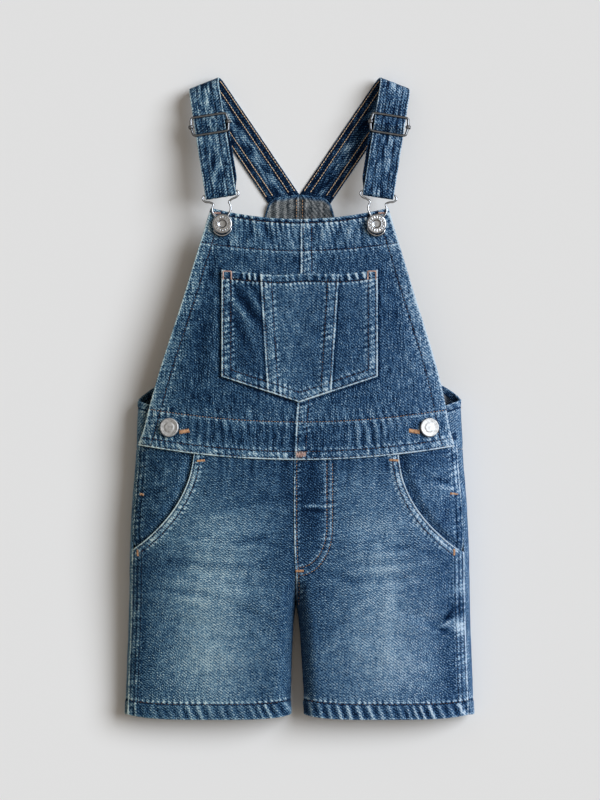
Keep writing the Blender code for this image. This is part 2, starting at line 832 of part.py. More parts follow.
FOLD_ALONG = np.array((-math.cos(FOLD_TILT), math.sin(FOLD_TILT)))
FOLD_DOWN = np.array((-math.sin(FOLD_TILT), -math.cos(FOLD_TILT)))
FOLD_TOP_Z = 2 * FOLD_RADIUS + STRAP_WALL / 2
STRAP_ACROSS = (-0.5, -0.425, 0.425, 0.5)
STRAP_BACK = (*np.linspace(STRAP_END_AT, -30, 9), -24.0, -18.0)
STRAP_FOLD = np.linspace(-15.5, 15.5, 12)
STRAP_SLIDER = (-20, -16, -12, -9.5, -8, -6.5, -5.2, -4, -2.8, -1.6, 0, 1.6, 2.8, 4, 5.2, 6.5, 8,
                9.5, 12, 16, 20)
STRAP_FRONT = np.linspace(SLIDER_AT + 30, HOOK_AT, 4)
STRAP_BAR_TURN = np.radians((30, 60, 90, 120, 150))
STRAP_RETURN = (
    *(HOOK_AT - np.array((0, 5, 10, RETURN_TURN, 26))),
    *(SLIDER_AT + np.array((20, 17, 14, 11, 8, 6, 4, 2, 0, -2.5))),
)


def strap_plan(along, across):
    """Plan place of a strap point, and its distance b from the fold square to the fold.

    The strap is a straight strip wrapped over a round fold whose axis crosses it at a slant.
    """
    a = -along * math.sin(FOLD_SLANT) + across * math.cos(FOLD_SLANT)
    b = along * math.cos(FOLD_SLANT) + across * math.sin(FOLD_SLANT)
    bend = FOLD_RADIUS * math.pi / 2
    if abs(b) < bend:
        down = FOLD_RADIUS * (1 - math.cos(b / FOLD_RADIUS))
    else:
        down = FOLD_RADIUS + abs(b) - bend
    place = np.array((FOLD_U, FOLD_Y)) + a * FOLD_ALONG + down * FOLD_DOWN
    return place, b


def strap_line_z(along):
    """Straight climb of the front strap from the fold to the hook's bar."""
    start = FOLD_RADIUS * math.pi / 2
    share = max(0.0, (along - start) / (HOOK_AT - start))
    return FOLD_TOP_Z + share * (HOOK_BAR_Z + BAR_CLEAR - FOLD_TOP_Z)


def slider_wave(along):
    """The strap dips under the slider's outer bars and rises over its middle bar."""
    d = abs(along - SLIDER_AT)
    if d < SLIDER_HALF_HEIGHT:
        return BAR_CLEAR * math.cos(math.pi * d / SLIDER_HALF_HEIGHT)
    return -BAR_CLEAR * (1 - float(smooth((d - SLIDER_HALF_HEIGHT) / WAVE_FADE)))


def strap_point(along, across):
    """Middle surface of the strap from its sewn end over the fold to the hook."""
    to_end = (-along - STRAP_SKEW_AT) / (-STRAP_END_AT - STRAP_SKEW_AT)
    skew = across * STRAP_END_SKEW * float(smooth(to_end))
    place, b = strap_plan(along + skew, across)
    bend = FOLD_RADIUS * math.pi / 2
    if b < -bend:
        z = STRAP_WALL / 2
    elif b < bend:
        z = FOLD_RADIUS + STRAP_WALL / 2 + FOLD_RADIUS * math.sin(b / FOLD_RADIUS)
    else:
        z = strap_line_z(along) + slider_wave(along)
    return np.array((*place, z))


def strap_return_point(along, across):
    """Middle surface of the end that comes back from the hook to the slider's middle bar."""
    place, _ = strap_plan(along, across)
    to_hook = float(smooth((along - HOOK_AT + RETURN_TURN) / RETURN_TURN))
    below = RETURN_DROP + (2 * BAR_CLEAR - RETURN_DROP) * to_hook
    d = along - SLIDER_AT
    below += BAR_CLEAR * float(smooth((RETURN_DIP_AT - d) / WAVE_FADE))
    below -= RETURN_DROP * float(smooth((SLIDER_HALF_HEIGHT - d) / SLIDER_HALF_HEIGHT))
    return np.array((*place, strap_line_z(along) - below))


def strap(name, side, group, material):
    """Shoulder strap as one length of webbing-like double denim."""
    across = STRAP_WIDTH * np.array(STRAP_ACROSS)
    slider_rows = SLIDER_AT + np.array(STRAP_SLIDER)
    outward = (*STRAP_BACK, *STRAP_FOLD, 19.5, *slider_rows, *STRAP_FRONT)
    rows = [[strap_point(s, w) for w in across] for s in outward]
    low = strap_line_z(HOOK_AT) - 2 * BAR_CLEAR
    for angle in STRAP_BAR_TURN:
        reach = BAR_CLEAR * math.sin(angle)
        rise = BAR_CLEAR * (1 + math.cos(angle))
        row = []
        for w in across:
            place, _ = strap_plan(HOOK_AT + reach, w)
            row.append(np.array((*place, low + rise)))
        rows.append(row)
    rows += [[strap_return_point(s, w) for w in across] for s in STRAP_RETURN]
    return wall(name, side, np.array(rows), group, material, thickness=STRAP_WALL, offset=0.0,
                up=False)


# ---------------------------------------------------------------- metal

def on_strap(side, along, across, lift):
    """Point beside the front strap's straight line: along it, across it and above it."""
    place, _ = strap_plan(along, across)
    return np.array((side * place[0], place[1], strap_line_z(along) + lift))


def slider(name, side, group, cutters, material):
    """Wire slider: a rounded frame round the strap and a middle bar with knobbed ends."""
    middle_across = SLIDER_HALF_WIDTH - SLIDER_CORNER
    middle_along = SLIDER_HALF_HEIGHT - SLIDER_CORNER
    bulge = SLIDER_HALF_WIDTH + SLIDER_BULGE
    loop = []
    for turn, (sign_across, sign_along) in enumerate(((1, 1), (-1, 1), (-1, -1), (1, -1))):
        for angle in np.radians(np.linspace(0, 90, 5)) + turn * math.pi / 2:
            loop.append((sign_across * middle_across + SLIDER_CORNER * math.cos(angle),
                         sign_along * middle_along + SLIDER_CORNER * math.sin(angle)))
        if turn % 2:
            loop.append((sign_across * bulge, 0.0))
        else:
            loop.append((0.0, sign_along * SLIDER_HALF_HEIGHT))
    points = [on_strap(side, SLIDER_AT + along, across, 0.0) for across, along in loop]
    frame = wire(name, points, SLIDER_WIRE, True, group, material)
    tip = bulge + KNOB_OUT
    upper_half = (
        (0.0, tip),
        (KNOB_FACE, tip),
        (KNOB_RADIUS, tip - KNOB_BEVEL),
        (KNOB_RADIUS, bulge - KNOB_OUT + KNOB_BEVEL),
        (SLIDER_WIRE / 2, bulge - KNOB_OUT + KNOB_BEVEL - 0.1),
    )
    profile = (*upper_half, *((radius, -height) for radius, height in reversed(upper_half)))
    middle = on_strap(side, SLIDER_AT, 0.0, 0.0)
    axis = on_strap(side, SLIDER_AT, 5.0, 0.0) - middle
    bar = turned(name + "_bar", profile, middle, axis, SLIDER_BAR_STEPS, cutters, material)
    bar.hide_render = True
    bar.display_type = "WIRE"
    joined = frame.modifiers.new("Middle bar", "BOOLEAN")
    joined.operation = "UNION"
    joined.solver = "EXACT"
    joined.object = bar
    return frame


def hook(name, side, group, material):
    """Wire hook: the bar in the strap's end, a keyhole slot and a round seat at the button."""
    button_u, button_y = BIB_BUTTON
    seat = surface_point(side, button_u, button_y, BIB_LIFT + HOOK_LIFT)
    bar_place, _ = strap_plan(HOOK_AT, 0.0)
    edge_place, _ = strap_plan(HOOK_AT, 5.0)
    bar = np.array((*bar_place, HOOK_BAR_Z))
    across = np.array((*((edge_place - bar_place) / 5.0), 0.0))
    reach = HOOK["along"][0]

    def point(along, width):
        share = along / reach
        place = seat + (bar - seat) * share + across * width
        return np.array((side * place[0], place[1], place[2]))

    inner = [point(a, w) for a, w in zip(HOOK["along"], HOOK["half_width"])]
    outer = [point(a, -w) for a, w in zip(HOOK["along"], HOOK["half_width"])]
    bar_ends = [point(reach, -HOOK_BAR_HALF), point(reach, HOOK_BAR_HALF)]
    points = [*inner, point(HOOK_TIP, 0.0), *outer[::-1], *bar_ends]
    return wire(name, points, HOOK_WIRE, True, group, material)


def button(name, side, where, lift, profile, group, material):
    u, y = where
    low = surface_point(side, u, y, lift)
    high = surface_point(side, u, y, lift + 1.0)
    place = np.array((side * low[0], low[1], low[2]))
    axis = np.array((side * (high - low)[0], (high - low)[1], (high - low)[2]))
    return turned(name, profile, place, axis, BUTTON_STEPS, group, material)


# ---------------------------------------------------------------- the whole garment

def main():
    for thing in list(bpy.data.objects):
        bpy.data.objects.remove(thing)
    garment = collection("Kids dungarees")
    cutters = collection("Cutters")
    denim = finish("denim", (0.065, 0.135, 0.25), 0.9)
    pocket_denim = finish("pocket denim", (0.075, 0.15, 0.27), 0.9)
    strap_denim = finish("strap denim", (0.06, 0.125, 0.235), 0.9)
    nickel = finish("nickel", (0.62, 0.62, 0.63), 0.3, 1.0)
    gunmetal = finish("dark nickel", (0.3, 0.3, 0.32), 0.35, 1.0)
    for word, side in SIDES.items():
        front_leg("front_leg_" + word, side, garment, denim)
        back_leg("back_leg_" + word, side, garment, denim)
        back_bib("back_bib_" + word, side, garment, denim)
        hip_facing("hip_facing_" + word, side, garment, pocket_denim)
        bib("bib_" + word, side, garment, denim)
        strap("strap_" + word, side, garment, strap_denim)
        slider("slider_" + word, side, garment, cutters, gunmetal)
        hook("hook_" + word, side, garment, nickel)
        button("bib_button_" + word, side, BIB_BUTTON, BIB_LIFT, BIB_BUTTON_PROFILE, garment,
               nickel)
        button("waist_button_" + word, side, WAIST_BUTTON, BIB_LIFT, WAIST_BUTTON_PROFILE,
               garment, nickel)
    bib_pocket(garment, pocket_denim)


main()
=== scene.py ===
"""Looks of the kids' denim dungarees: washed denim shells, topstitching, wire fittings and stage.

The garment lies on its back along Y, hems at low Y and folded straps at high Y; +X is the
wearer's left and +Z is up. Every surface is a function on a grid, worked out with numpy in
millimetres with y = 0 at the hems, and place_mesh() turns it into metres in the frame's place.
u is the distance from the middle line towards one side, so x = side * u.
"""

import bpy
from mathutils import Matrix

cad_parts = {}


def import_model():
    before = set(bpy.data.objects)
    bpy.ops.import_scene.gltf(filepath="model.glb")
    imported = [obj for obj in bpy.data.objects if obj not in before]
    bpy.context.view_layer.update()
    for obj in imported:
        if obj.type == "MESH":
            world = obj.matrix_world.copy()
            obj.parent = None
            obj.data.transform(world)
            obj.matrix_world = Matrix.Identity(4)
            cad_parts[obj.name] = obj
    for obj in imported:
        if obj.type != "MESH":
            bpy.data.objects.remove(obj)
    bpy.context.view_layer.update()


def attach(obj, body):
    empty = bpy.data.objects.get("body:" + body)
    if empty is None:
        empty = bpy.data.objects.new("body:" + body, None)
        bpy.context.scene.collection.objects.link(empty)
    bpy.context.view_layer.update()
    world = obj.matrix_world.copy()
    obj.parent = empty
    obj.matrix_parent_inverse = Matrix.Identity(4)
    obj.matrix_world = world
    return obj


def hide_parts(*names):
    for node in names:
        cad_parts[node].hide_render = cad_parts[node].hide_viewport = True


bl_info = {
    "name": "Kids dungarees",
    "version": (1, 0, 0),
    "blender": (4, 5, 0),
    "location": "3D View > Sidebar > Dungarees",
    "description": "Washed denim, topstitching and wire fittings for the laid out dungarees",
    "category": "Object",
}

import math

import bpy
import numpy as np
from mathutils import Vector

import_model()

MM = 0.001
LENGTH = 561.8            # hem to the top of the folded straps
BODY_NAME = "root"
SIDES = {"left": 1, "right": -1}

# Cloth
PANEL = 1.5               # wall of a denim panel
HEM_WALL = 2.2            # wall where the cloth is turned and sewn double
LAP = 0.5                 # between a piece and the one that it lies on
BIB_LIFT = PANEL + LAP
POCKET_LIFT = BIB_LIFT + PANEL + LAP

# Heights along the body
CROTCH_Y = 100.0
CROTCH_RISE = 32.0
SLIT_Y = 197.0
WAIST_Y = 236.0
FRONT_TOP = 238.0
BAND_MID_Y = 226.8
BAND_SIDE_LIFT = 12.0
BAND_SIDE_U = 136.0
BAND_DEPTH = 33.0         # height of the waistband, up to its single row of stitches
BIB_TOP_MID_Y = 436.6
BIB_TOP_SIDE_LIFT = 9.6
BIB_TOP_SIDE_U = 77.0
HEM_DEPTH = 14.0
HEM_RISE = 4.0
HEM_RISE_FADE = 60.0

# Section shape
CROWN_POWER = 3.0
INNER_ROLL = 14.0
SIDE_ROLL = 19.0
TAB_END_U = 100.0
SIDE_SEAM_INSET = 3.4     # side seam, in from the widest point
SIDE_SEAM_LEAN = 1.2      # more of it on the left, less on the right
FELL_WIDTH = 10.0         # width of a flat-felled seam


def table(names, *rows):
    """Short table: one named column for each word in names."""
    return dict(zip(names.split(), np.array(rows, dtype=float).T))


# Sections from the hem to the top of the bib: half width, height of the widest point, height of
# the front's crown, and height of the fold at the inside of the leg.
BODY = table(
    "y half_width side_z crown_z inner_z",
    (0, 152.4, 13, 33, 13.5), (35, 151.4, 14, 36.5, 15), (70, 150, 16, 41, 17),
    (100, 149, 17.5, 45, 19), (150, 148, 19, 49, 21), (185, 146.4, 19, 50.5, 21),
    (225, 143.2, 18.5, 49.5, 21), (260, 141.8, 18, 47, 21), (300, 140.7, 17, 44.5, 21),
    (360, 139.2, 15, 40, 21), (446, 137.2, 12, 34, 21),
)
LEG_GAP = table("y half_gap", (0, 6.0), (35, 5.0), (70, 3.2), (92, 1.4), (100, 0.15))
TWIST = table("y shift", (0, -1.8), (100, -3.0), (200, -3.4), (240, -2.7), (296, -1.0), (446, 0.0))
HIP_POCKET = table(
    "y u",
    (149, 141.5), (155, 133.6), (164.5, 122.9), (184.5, 105.9), (208.5, 93.9), (228.5, 89.6),
    (250, 88),
)
BIB_EDGE = table(
    "y u",
    (226, 137), (239, 136.3), (255, 132.2), (273, 128.5), (296, 122.9), (371, 100.1), (446, 77.4),
)
ARMHOLE = table(
    "around y",
    (0, 459.3), (14, 457.4), (28, 453.4), (31.5, 449), (35, 437), (41, 416), (49, 394), (59, 372),
    (71, 351), (86, 331), (103, 312.5), (120, 299), (137, 289), (150, 282), (162, 277.5),
    (175, 273.5), (205, 272),
)

# Soft folds across the thighs: middle, slant from level, half length, half width and height of
# each ridge; a negative height is a trough. Here x is signed, from right to left.
SOFT_FOLDS = table(
    "x y slant half_length half_width height",
    (-46, 173, 8, 34, 6.5, -1.1), (-62, 151, 5, 42, 7.5, 0.9), (-76, 128, -4, 38, 7, -1),
    (-52, 107, -12, 34, 7.5, 0.8), (-98, 84, -7, 30, 7, -1.1), (-58, 60, 4, 42, 8.5, 0.9),
    (50, 168, -10, 32, 6.5, -1.1), (64, 146, -6, 40, 7.5, 0.9), (86, 123, 4, 36, 7, -1),
    (54, 103, 12, 34, 7.5, 0.8), (112, 88, -16, 22, 6, -1.5), (68, 58, -5, 42, 8.5, 0.9),
)
FOLD_FREE = 0.86          # share of the half width from which they die away

# Finer creases of the front, placed one by one; wear is how much their tops have faded.
LEG_CREASES = table(
    "x y slant half_length half_width height wear",
    (12, 187, 3, 11, 1.2, 0.6, 0.55), (13, 183, -5, 10, 1.6, -0.5, -0.28),
    (24, 205, 68, 14, 2.4, 0.3, 0.05), (-14, 219, 82, 12, 1.8, -0.45, -0.14),
    (-26, 221, 76, 11, 1.8, 0.35, 0.08), (-42, 221, 84, 10, 1.7, -0.35, -0.1),
    (-60, 222, 80, 9, 1.6, 0.3, 0.06), (40, 220, 100, 10, 1.8, -0.35, -0.1),
    (60, 221, 96, 9, 1.7, 0.3, 0.06), (76, 222, 98, 9, 1.6, -0.3, -0.08),
    (128, 84, 28, 9, 1.7, 0.75, 0.4), (124, 79, -22, 10, 1.9, -0.75, -0.3),
    (130, 91, 58, 8, 1.6, -0.6, -0.3), (119, 93, 12, 12, 2.6, 0.45, 0.12),
    (-44, 157, 12, 22, 2.6, -0.5, -0.16), (-26, 154, -10, 14, 2.2, -0.45, -0.14),
    (-106, 136, 3, 30, 7, -0.4, -0.12), (-62, 72, 2, 22, 1.8, -0.35, -0.12),
    (-40, 190, 12, 26, 3.2, -0.4, -0.1), (-64, 178, 6, 30, 3.4, 0.35, 0.08),
    (-30, 140, 18, 20, 3, -0.45, -0.09), (-96, 112, -5, 24, 3.2, -0.4, -0.1),
    (-92, 104, -8, 26, 3.4, 0.35, 0.1), (-36, 92, -24, 20, 3, -0.5, -0.1),
    (-30, 70, -36, 18, 3.2, 0.4, 0.06), (-72, 40, 6, 32, 3.6, -0.3, -0.06),
    (-118, 62, 12, 18, 3, -0.4, -0.08), (30, 128, -20, 22, 3, -0.45, -0.09),
    (74, 132, 3, 28, 3.2, 0.35, 0.1), (96, 150, -8, 24, 3.2, -0.4, -0.14),
    (52, 154, 8, 26, 2.6, -0.45, -0.14), (78, 92, 88, 40, 5, 0.25, 0.1),
    (34, 84, 22, 20, 3, -0.5, -0.1), (28, 64, 36, 16, 3, 0.4, 0.06),
    (84, 74, -4, 30, 3.4, -0.3, -0.06), (104, 46, -10, 26, 3.4, 0.3, 0.05),
    (58, 36, 5, 28, 3.4, -0.25, -0.05),
)
FACING_CREASES = table(
    "x y slant half_length half_width height wear",
    (125, 203, -8, 9, 1.7, 0.6, 0.26), (124, 209, -14, 10, 2.2, -0.6, -0.2),
    (118, 214, 70, 10, 2.4, 0.3, 0.12), (128, 180, 60, 12, 2.6, -0.4, -0.12),
    (-124, 206, 10, 11, 2, 0.5, 0.16), (-126, 200, 16, 10, 2.2, -0.5, -0.14),
    (-116, 216, 100, 9, 2.2, 0.3, 0.1), (-128, 176, 118, 12, 2.6, -0.4, -0.1),
)
BIB_CREASES = table(
    "x y slant half_length half_width height wear",
    (-84, 330, 84, 40, 5.5, -1, -0.15), (-98, 322, 76, 34, 5, 0.8, 0.05),
    (-76, 396, 92, 22, 4, -0.55, -0.1), (84, 352, 97, 34, 5.5, -0.7, -0.1),
    (96, 318, 104, 36, 5, 0.6, 0.05), (-28, 426, 112, 13, 2.2, -0.84, -0.34),
    (-36, 427, 108, 12, 2, 0.72, 0.25), (-46, 425, 80, 12, 2, -0.54, -0.21),
    (-56, 420, 60, 12, 2.2, 0.54, 0.17), (-12, 427, 110, 12, 2, 0.54, 0.21),
    (12, 424, 84, 13, 2, -0.6, -0.25), (22, 426, 76, 13, 2, 0.66, 0.25),
    (34, 426, 72, 13, 2, -0.66, -0.25), (44, 427, 80, 12, 1.9, 0.66, 0.25),
    (54, 426, 96, 12, 1.9, -0.54, -0.21), (60, 262, 96, 24, 4, -0.35, -0.05),
    (-70, 264, 84, 22, 4, -0.35, -0.05), (0, 262, 92, 22, 4.5, 0.3, 0.04),
)
POCKET_CREASES = table(
    "x y slant half_length half_width height wear",
    (-44, 359, 125, 22, 2.6, -0.9, -0.36), (-50, 355, 125, 20, 2.2, 0.8, 0.26),
    (-54, 344, 120, 22, 2.8, -0.5, -0.18), (-42, 334, 112, 24, 2.8, 0.5, 0.14),
    (-38, 374, 128, 14, 1.8, -0.6, -0.24), (-38, 363, 126, 14, 1.8, 0.6, 0.26),
    (50, 318, 62, 26, 3.2, -0.45, -0.08), (44, 310, 66, 22, 3, 0.35, 0.06),
    (2, 340, 90, 30, 6, -0.5, -0.08), (-12, 300, 82, 16, 3.2, 0.35, 0.12),
    (12, 300, 98, 16, 3.2, -0.3, -0.1), (-18, 352, 118, 20, 3, 0.35, 0.12),
    (-12, 346, 120, 18, 2.6, -0.35, -0.12),
)

# Straps, measured in plan
STRAP_WIDTH = 27.0
STRAP_WALL = 2.2
FOLD_U = 82.9
FOLD_Y = 555.7
FOLD_TILT = math.radians(21.5)
FOLD_SLANT = math.radians(12.5)
FOLD_RADIUS = 10.5
SLIDER_AT = 42.2
HOOK_AT = 103.9
HOOK_BAR_Z = 35.0
STRAP_END_AT = -124.6
STRAP_END_SKEW = math.tan(math.radians(-22.8))
STRAP_SKEW_AT = 80.0
BAR_CLEAR = 2.35
WAVE_FADE = 12.0
RETURN_DROP = 2.75
RETURN_TURN = 16.0
RETURN_DIP_AT = 20.0
RETURN_END = SLIDER_AT - 2.5

# Bib pocket
POCKET_TOP_Y = 388.0
POCKET_TOP_CORNER_LIFT = 4.2
POCKET_HALF_WIDTH = 67.8
POCKET_POINT_Y = 276.6
POCKET_CORNER_Y = 299.0
POCKET_SEAM_TOP_U = 34.2
POCKET_SEAM_LOW_U = 27.6

# Metal
SLIDER_WIRE = 2.3
SLIDER_HALF_WIDTH = 15.6
SLIDER_HALF_HEIGHT = 8.0
SLIDER_BULGE = 1.0
KNOB_RADIUS = 1.8
KNOB_OUT = 2.1
HOOK_WIRE = 1.8
HOOK_LIFT = 2.1
BIB_BUTTON = (66.8, 431.8)
WAIST_BUTTON = (112.2, 254.9)
HOOK = table(
    "along half_width",
    (28.2, 15.2), (25.6, 15.9), (23.4, 14.3), (21.6, 9.4), (19.6, 6.9), (16.5, 7.9), (12.5, 8),
    (8.5, 6.2), (5, 4.4), (2, 5.4), (-2, 7.3), (-6, 7.1), (-9, 4.4),
)
HOOK_TIP = -10.4


# -------- shape of the garment

def at(rows, column, y, key="y"):
    """Value of a column at y, along a smooth cubic curve through the rows."""
    known, values = rows[key], rows[column]
    slopes = np.gradient(values, known)
    y = np.clip(np.asarray(y, dtype=float), known[0], known[-1])
    i = np.clip(np.searchsorted(known, y, side="right") - 1, 0, len(known) - 2)
    step = known[i + 1] - known[i]
    t = (y - known[i]) / step
    rise = t * t * (3 - 2 * t)
    bend = slopes[i] * (t * (1 - t) ** 2) + slopes[i + 1] * (t * t * (t - 1))
    return values[i] * (1 - rise) + values[i + 1] * rise + step * bend


def smooth(t):
    """0 below 0, 1 above 1, and an even S between."""
    t = np.clip(t, 0, 1)
    return t * t * (3 - 2 * t)


def bell(t):
    """1 at 0, dying away evenly on both sides."""
    return np.exp(-np.square(t))


def quarter(t):
    """Quarter circle from a vertical start at 0 to level at 1."""
    return np.sqrt(1 - (1 - np.clip(t, 0, 1)) ** 2)


def unit(vectors):
    """Vectors made one long."""
    return vectors / np.maximum(np.linalg.norm(vectors, axis=-1, keepdims=True), 1e-9)


def distances(line):
    """How far along a line each of its points lies."""
    return np.concatenate(([0.0], np.cumsum(np.linalg.norm(np.diff(line, axis=0), axis=1))))


def twist(y):
    return at(TWIST, "shift", y)


def band_y(u):
    """Lower edge of the front waistband: a shallow parabola, higher at the sides."""
    return BAND_MID_Y + BAND_SIDE_LIFT * (u / BAND_SIDE_U) ** 2


def bib_top_y(u):
    """Top of the bib: a shallow parabola."""
    return BIB_TOP_MID_Y + BIB_TOP_SIDE_LIFT * (u / BIB_TOP_SIDE_U) ** 2


def side_seam_u(side, y):
    return at(BODY, "half_width", y) - SIDE_SEAM_INSET - side * SIDE_SEAM_LEAN


def middle_u(side, y):
    """Inside of the leg, then the centre seam."""
    return at(LEG_GAP, "half_gap", y) + side * twist(y)


def hip_pocket_u(side, y):
    return at(HIP_POCKET, "u", y) + side * twist(y)


def crown_z(u, y):
    """Front's crown: a superellipse from the widest point up to the middle."""
    side_z = at(BODY, "side_z", y)
    top_z = at(BODY, "crown_z", y)
    t = np.clip(np.abs(u) / at(BODY, "half_width", y), 0, 1)
    return side_z + (top_z - side_z) * (1 - t ** CROWN_POWER) ** (1 / CROWN_POWER)


def creases(rows, column, x, y):
    """Sum of a column over creases, each a bell across its width and along its length."""
    total = 0.0
    for k, slant in enumerate(np.radians(rows["slant"])):
        right = x - rows["x"][k]
        up = y - rows["y"][k]
        along = (right * math.cos(slant) + up * math.sin(slant)) / rows["half_length"][k]
        across = (up * math.cos(slant) - right * math.sin(slant)) / rows["half_width"][k]
        total = total + rows[column][k] * np.exp(-along ** 2 - across ** 2)
    return total


def front_z(side, u, y):
    """Front's outer face: the crown with its soft folds, rolled down at the inside of a leg."""
    t = np.abs(u) / at(BODY, "half_width", y)
    folds = creases(SOFT_FOLDS, "height", side * u, y) * (1 - smooth((t - FOLD_FREE) / 0.07))
    crown = crown_z(u, y) + folds
    inner = at(BODY, "inner_z", y)
    inner = inner + (crown - inner) * smooth((y - CROTCH_Y) / CROTCH_RISE)
    return inner + (crown - inner) * quarter((u - middle_u(side, y)) / INNER_ROLL)


def on_front(side, u, y, lift):
    """Points above the front's face along its normal, with signed x, and the normals."""
    step = 0.4
    u, y, lift = np.broadcast_arrays(u, y, lift)
    z = front_z(side, u, y)
    slope_u = (front_z(side, u + step, y) - front_z(side, u - step, y)) / (2 * step)
    slope_y = (front_z(side, u, y + step) - front_z(side, u, y - step)) / (2 * step)
    slope_u = np.clip(slope_u, -3.0, 3.0)
    normal = unit(np.stack((-side * slope_u, -slope_y, np.ones_like(z)), axis=-1))
    point = np.stack((side * u, y, z), axis=-1)
    return point + lift[..., None] * normal, normal


def back_section(side, share, y):
    """Point of the back's section, from the middle along the ground, round the side and over.

    share runs 0 to 1 along the ground, 1 to 2 round a quarter ellipse to the widest point, and
    2 to 3 up the crown, where its square is the share of the way in to the middle.
    """
    half = at(BODY, "half_width", y)
    side_z = at(BODY, "side_z", y)
    start = middle_u(side, y)
    flat = start + (half - SIDE_ROLL - start) * np.clip(share, 0, 1)
    angle = np.clip(share - 1, 0, 1) * math.pi / 2
    over = np.clip(share - 2, 0, 1) ** 2
    u = np.where(share <= 1, flat, half - SIDE_ROLL * (1 - np.sin(angle)) - half * over)
    inner = at(BODY, "inner_z", y) * (1 - smooth((y - CROTCH_Y) / CROTCH_RISE))
    ground = inner * (1 - quarter((flat - start) / INNER_ROLL))
    z = np.where(share <= 1, ground, side_z * (1 - np.cos(angle)))
    z = np.where(share > 2, crown_z(u, y), z)
    return np.stack((side * u, y + 0.0 * u, z), axis=-1)


# -------- noise and lines

def wobble(s, length, seed):
    """Smooth noise from -1 to 1: seeded values at even steps, joined by S curves."""
    values = np.random.default_rng(seed).uniform(-1, 1, 512)
    place = np.asarray(s) / length
    i = np.floor(place).astype(int)
    t = smooth(place - i)
    return values[i % 512] * (1 - t) + values[(i + 1) % 512] * t


def ripple(s, period, seed):
    """Uneven wave: a cosine whose phase and size wander with the distance."""
    phase = s / period + 0.42 * wobble(s, 2.6 * period, seed)
    size = 0.68 + 0.32 * wobble(s, 1.7 * period, seed + 1)
    return size * np.cos(2 * math.pi * phase)


def clouds(x, y, size, seed):
    """Smooth noise over the plane, from -1 to 1: seeded values on a square lattice."""
    values = np.random.default_rng(seed).uniform(-1, 1, (256, 256))
    x, y = np.asarray(x) / size + 100, np.asarray(y) / size + 100
    i, j = np.floor(x).astype(int), np.floor(y).astype(int)
    s, t = smooth(x - i), smooth(y - j)
    i, j = i % 255, j % 255
    low = values[i, j] * (1 - s) + values[i + 1, j] * s
    high = values[i, j + 1] * (1 - s) + values[i + 1, j + 1] * s
    return low * (1 - t) + high * t


def across_along(x, y, line):
    """Distance to a line of points, positive on its left, and the distance along it."""
    start = line[:-1]
    step = line[1:] - start
    length = np.linalg.norm(step, axis=1)
    before = np.concatenate(([0.0], np.cumsum(length)))[:-1]
    from_x = x[..., None] - start[:, 0]
    from_y = y[..., None] - start[:, 1]
    t = np.clip((from_x * step[:, 0] + from_y * step[:, 1]) / length ** 2, 0, 1)
    away = np.hypot(from_x - t * step[:, 0], from_y - t * step[:, 1])
    hand = np.where(step[:, 0] * from_y - step[:, 1] * from_x >= 0, 1.0, -1.0)
    near = np.argmin(away, axis=-1)[..., None]
    distance = np.take_along_axis(hand * away, near, -1)[..., 0]
    along = np.take_along_axis(before + t * length, near, -1)[..., 0]
    return distance, along


def beside(line, distance):
    """Line moved square to itself, to its left where the distance is positive."""
    step = unit(np.gradient(line, axis=0))
    return line + distance * np.column_stack((-step[:, 1], step[:, 0]))


def resampled(line, spacing):
    """Line again, with points at about that spacing, on a smooth curve through its own points."""
    length = distances(line)
    places = np.linspace(0, length[-1], max(2, int(round(length[-1] / spacing)) + 1))
    rows = dict(zip("sxy", np.column_stack((length, line)).T))
    return np.column_stack([at(rows, name, places, key="s") for name in "xy"])


# -------- marks of sewing and wear
#
# Each mark is a pair stacked in one array: how far the cloth is lifted along its normal, in
# millimetres, and how much lighter its blue is, on the tone scale of the denim. place is the
# distance from a line, positive on its left, and the distance along it.

def felled(place, width, seed, period=4.8, rows=(1.9, 8.2), worn=0.40, raised=0.55, beyond=2.6,
           even=0.45, ladder=0.95, past_tone=0.6):
    """Flat-felled seam on the left of its folded edge.

    The strip is raised and sinks along its rows of stitches, which are painted darker as
    shade in their grooves. An uneven ripple puckers it between them like a ladder and dies
    away past the strip. Its edge and the tops of the puckers have faded, and a dark line of
    painted shadow lies beside the edge. Past the strip the cloth is faded, or painted with
    shade where the share for it is below zero.
    """
    d, s = place
    band = smooth(d / 0.8 + 0.5) * (1 - smooth((d - width) / 1.4 + 0.5))
    wave = ripple(s + 0.35 * d, period, seed)
    spots = 0.55 * wave + 0.55 * clouds(s, d, 2.2, seed + 9)
    edge = bell((d - 0.6) / 0.85)
    past = 0.6 * np.exp(-np.abs(d - width - 1.0) / beyond) * (d > width)
    past += bell((d - width - 0.9) / 0.9)
    cut = sum(bell((d - row) / 0.74) for row in rows)
    chafe = 0.85 + 0.35 * wobble(s, 9.0, seed + 7)
    lift = raised * band + 0.3 * band * wave + 0.2 * edge - 0.5 * cut * band + 0.16 * past * wave
    tone = worn * chafe * (edge * (1.75 + 0.4 * wave) + band * (even + ladder * spots) * (1 - cut))
    # Past the strip: faded, or painted shade where the share for it is below zero.
    tone += past_tone * worn * past * (0.35 + 0.8 * wave)
    # Painted shade: the rows of stitches are darkened in their grooves.
    tone -= 0.33 * cut * band * (0.85 + 0.7 * wobble(s, 1.3, seed + 12))
    # Painted shadow: a dark line beside the folded edge.
    tone -= 0.42 * bell((d + 1.1) / 0.85)
    return np.stack((lift, tone))


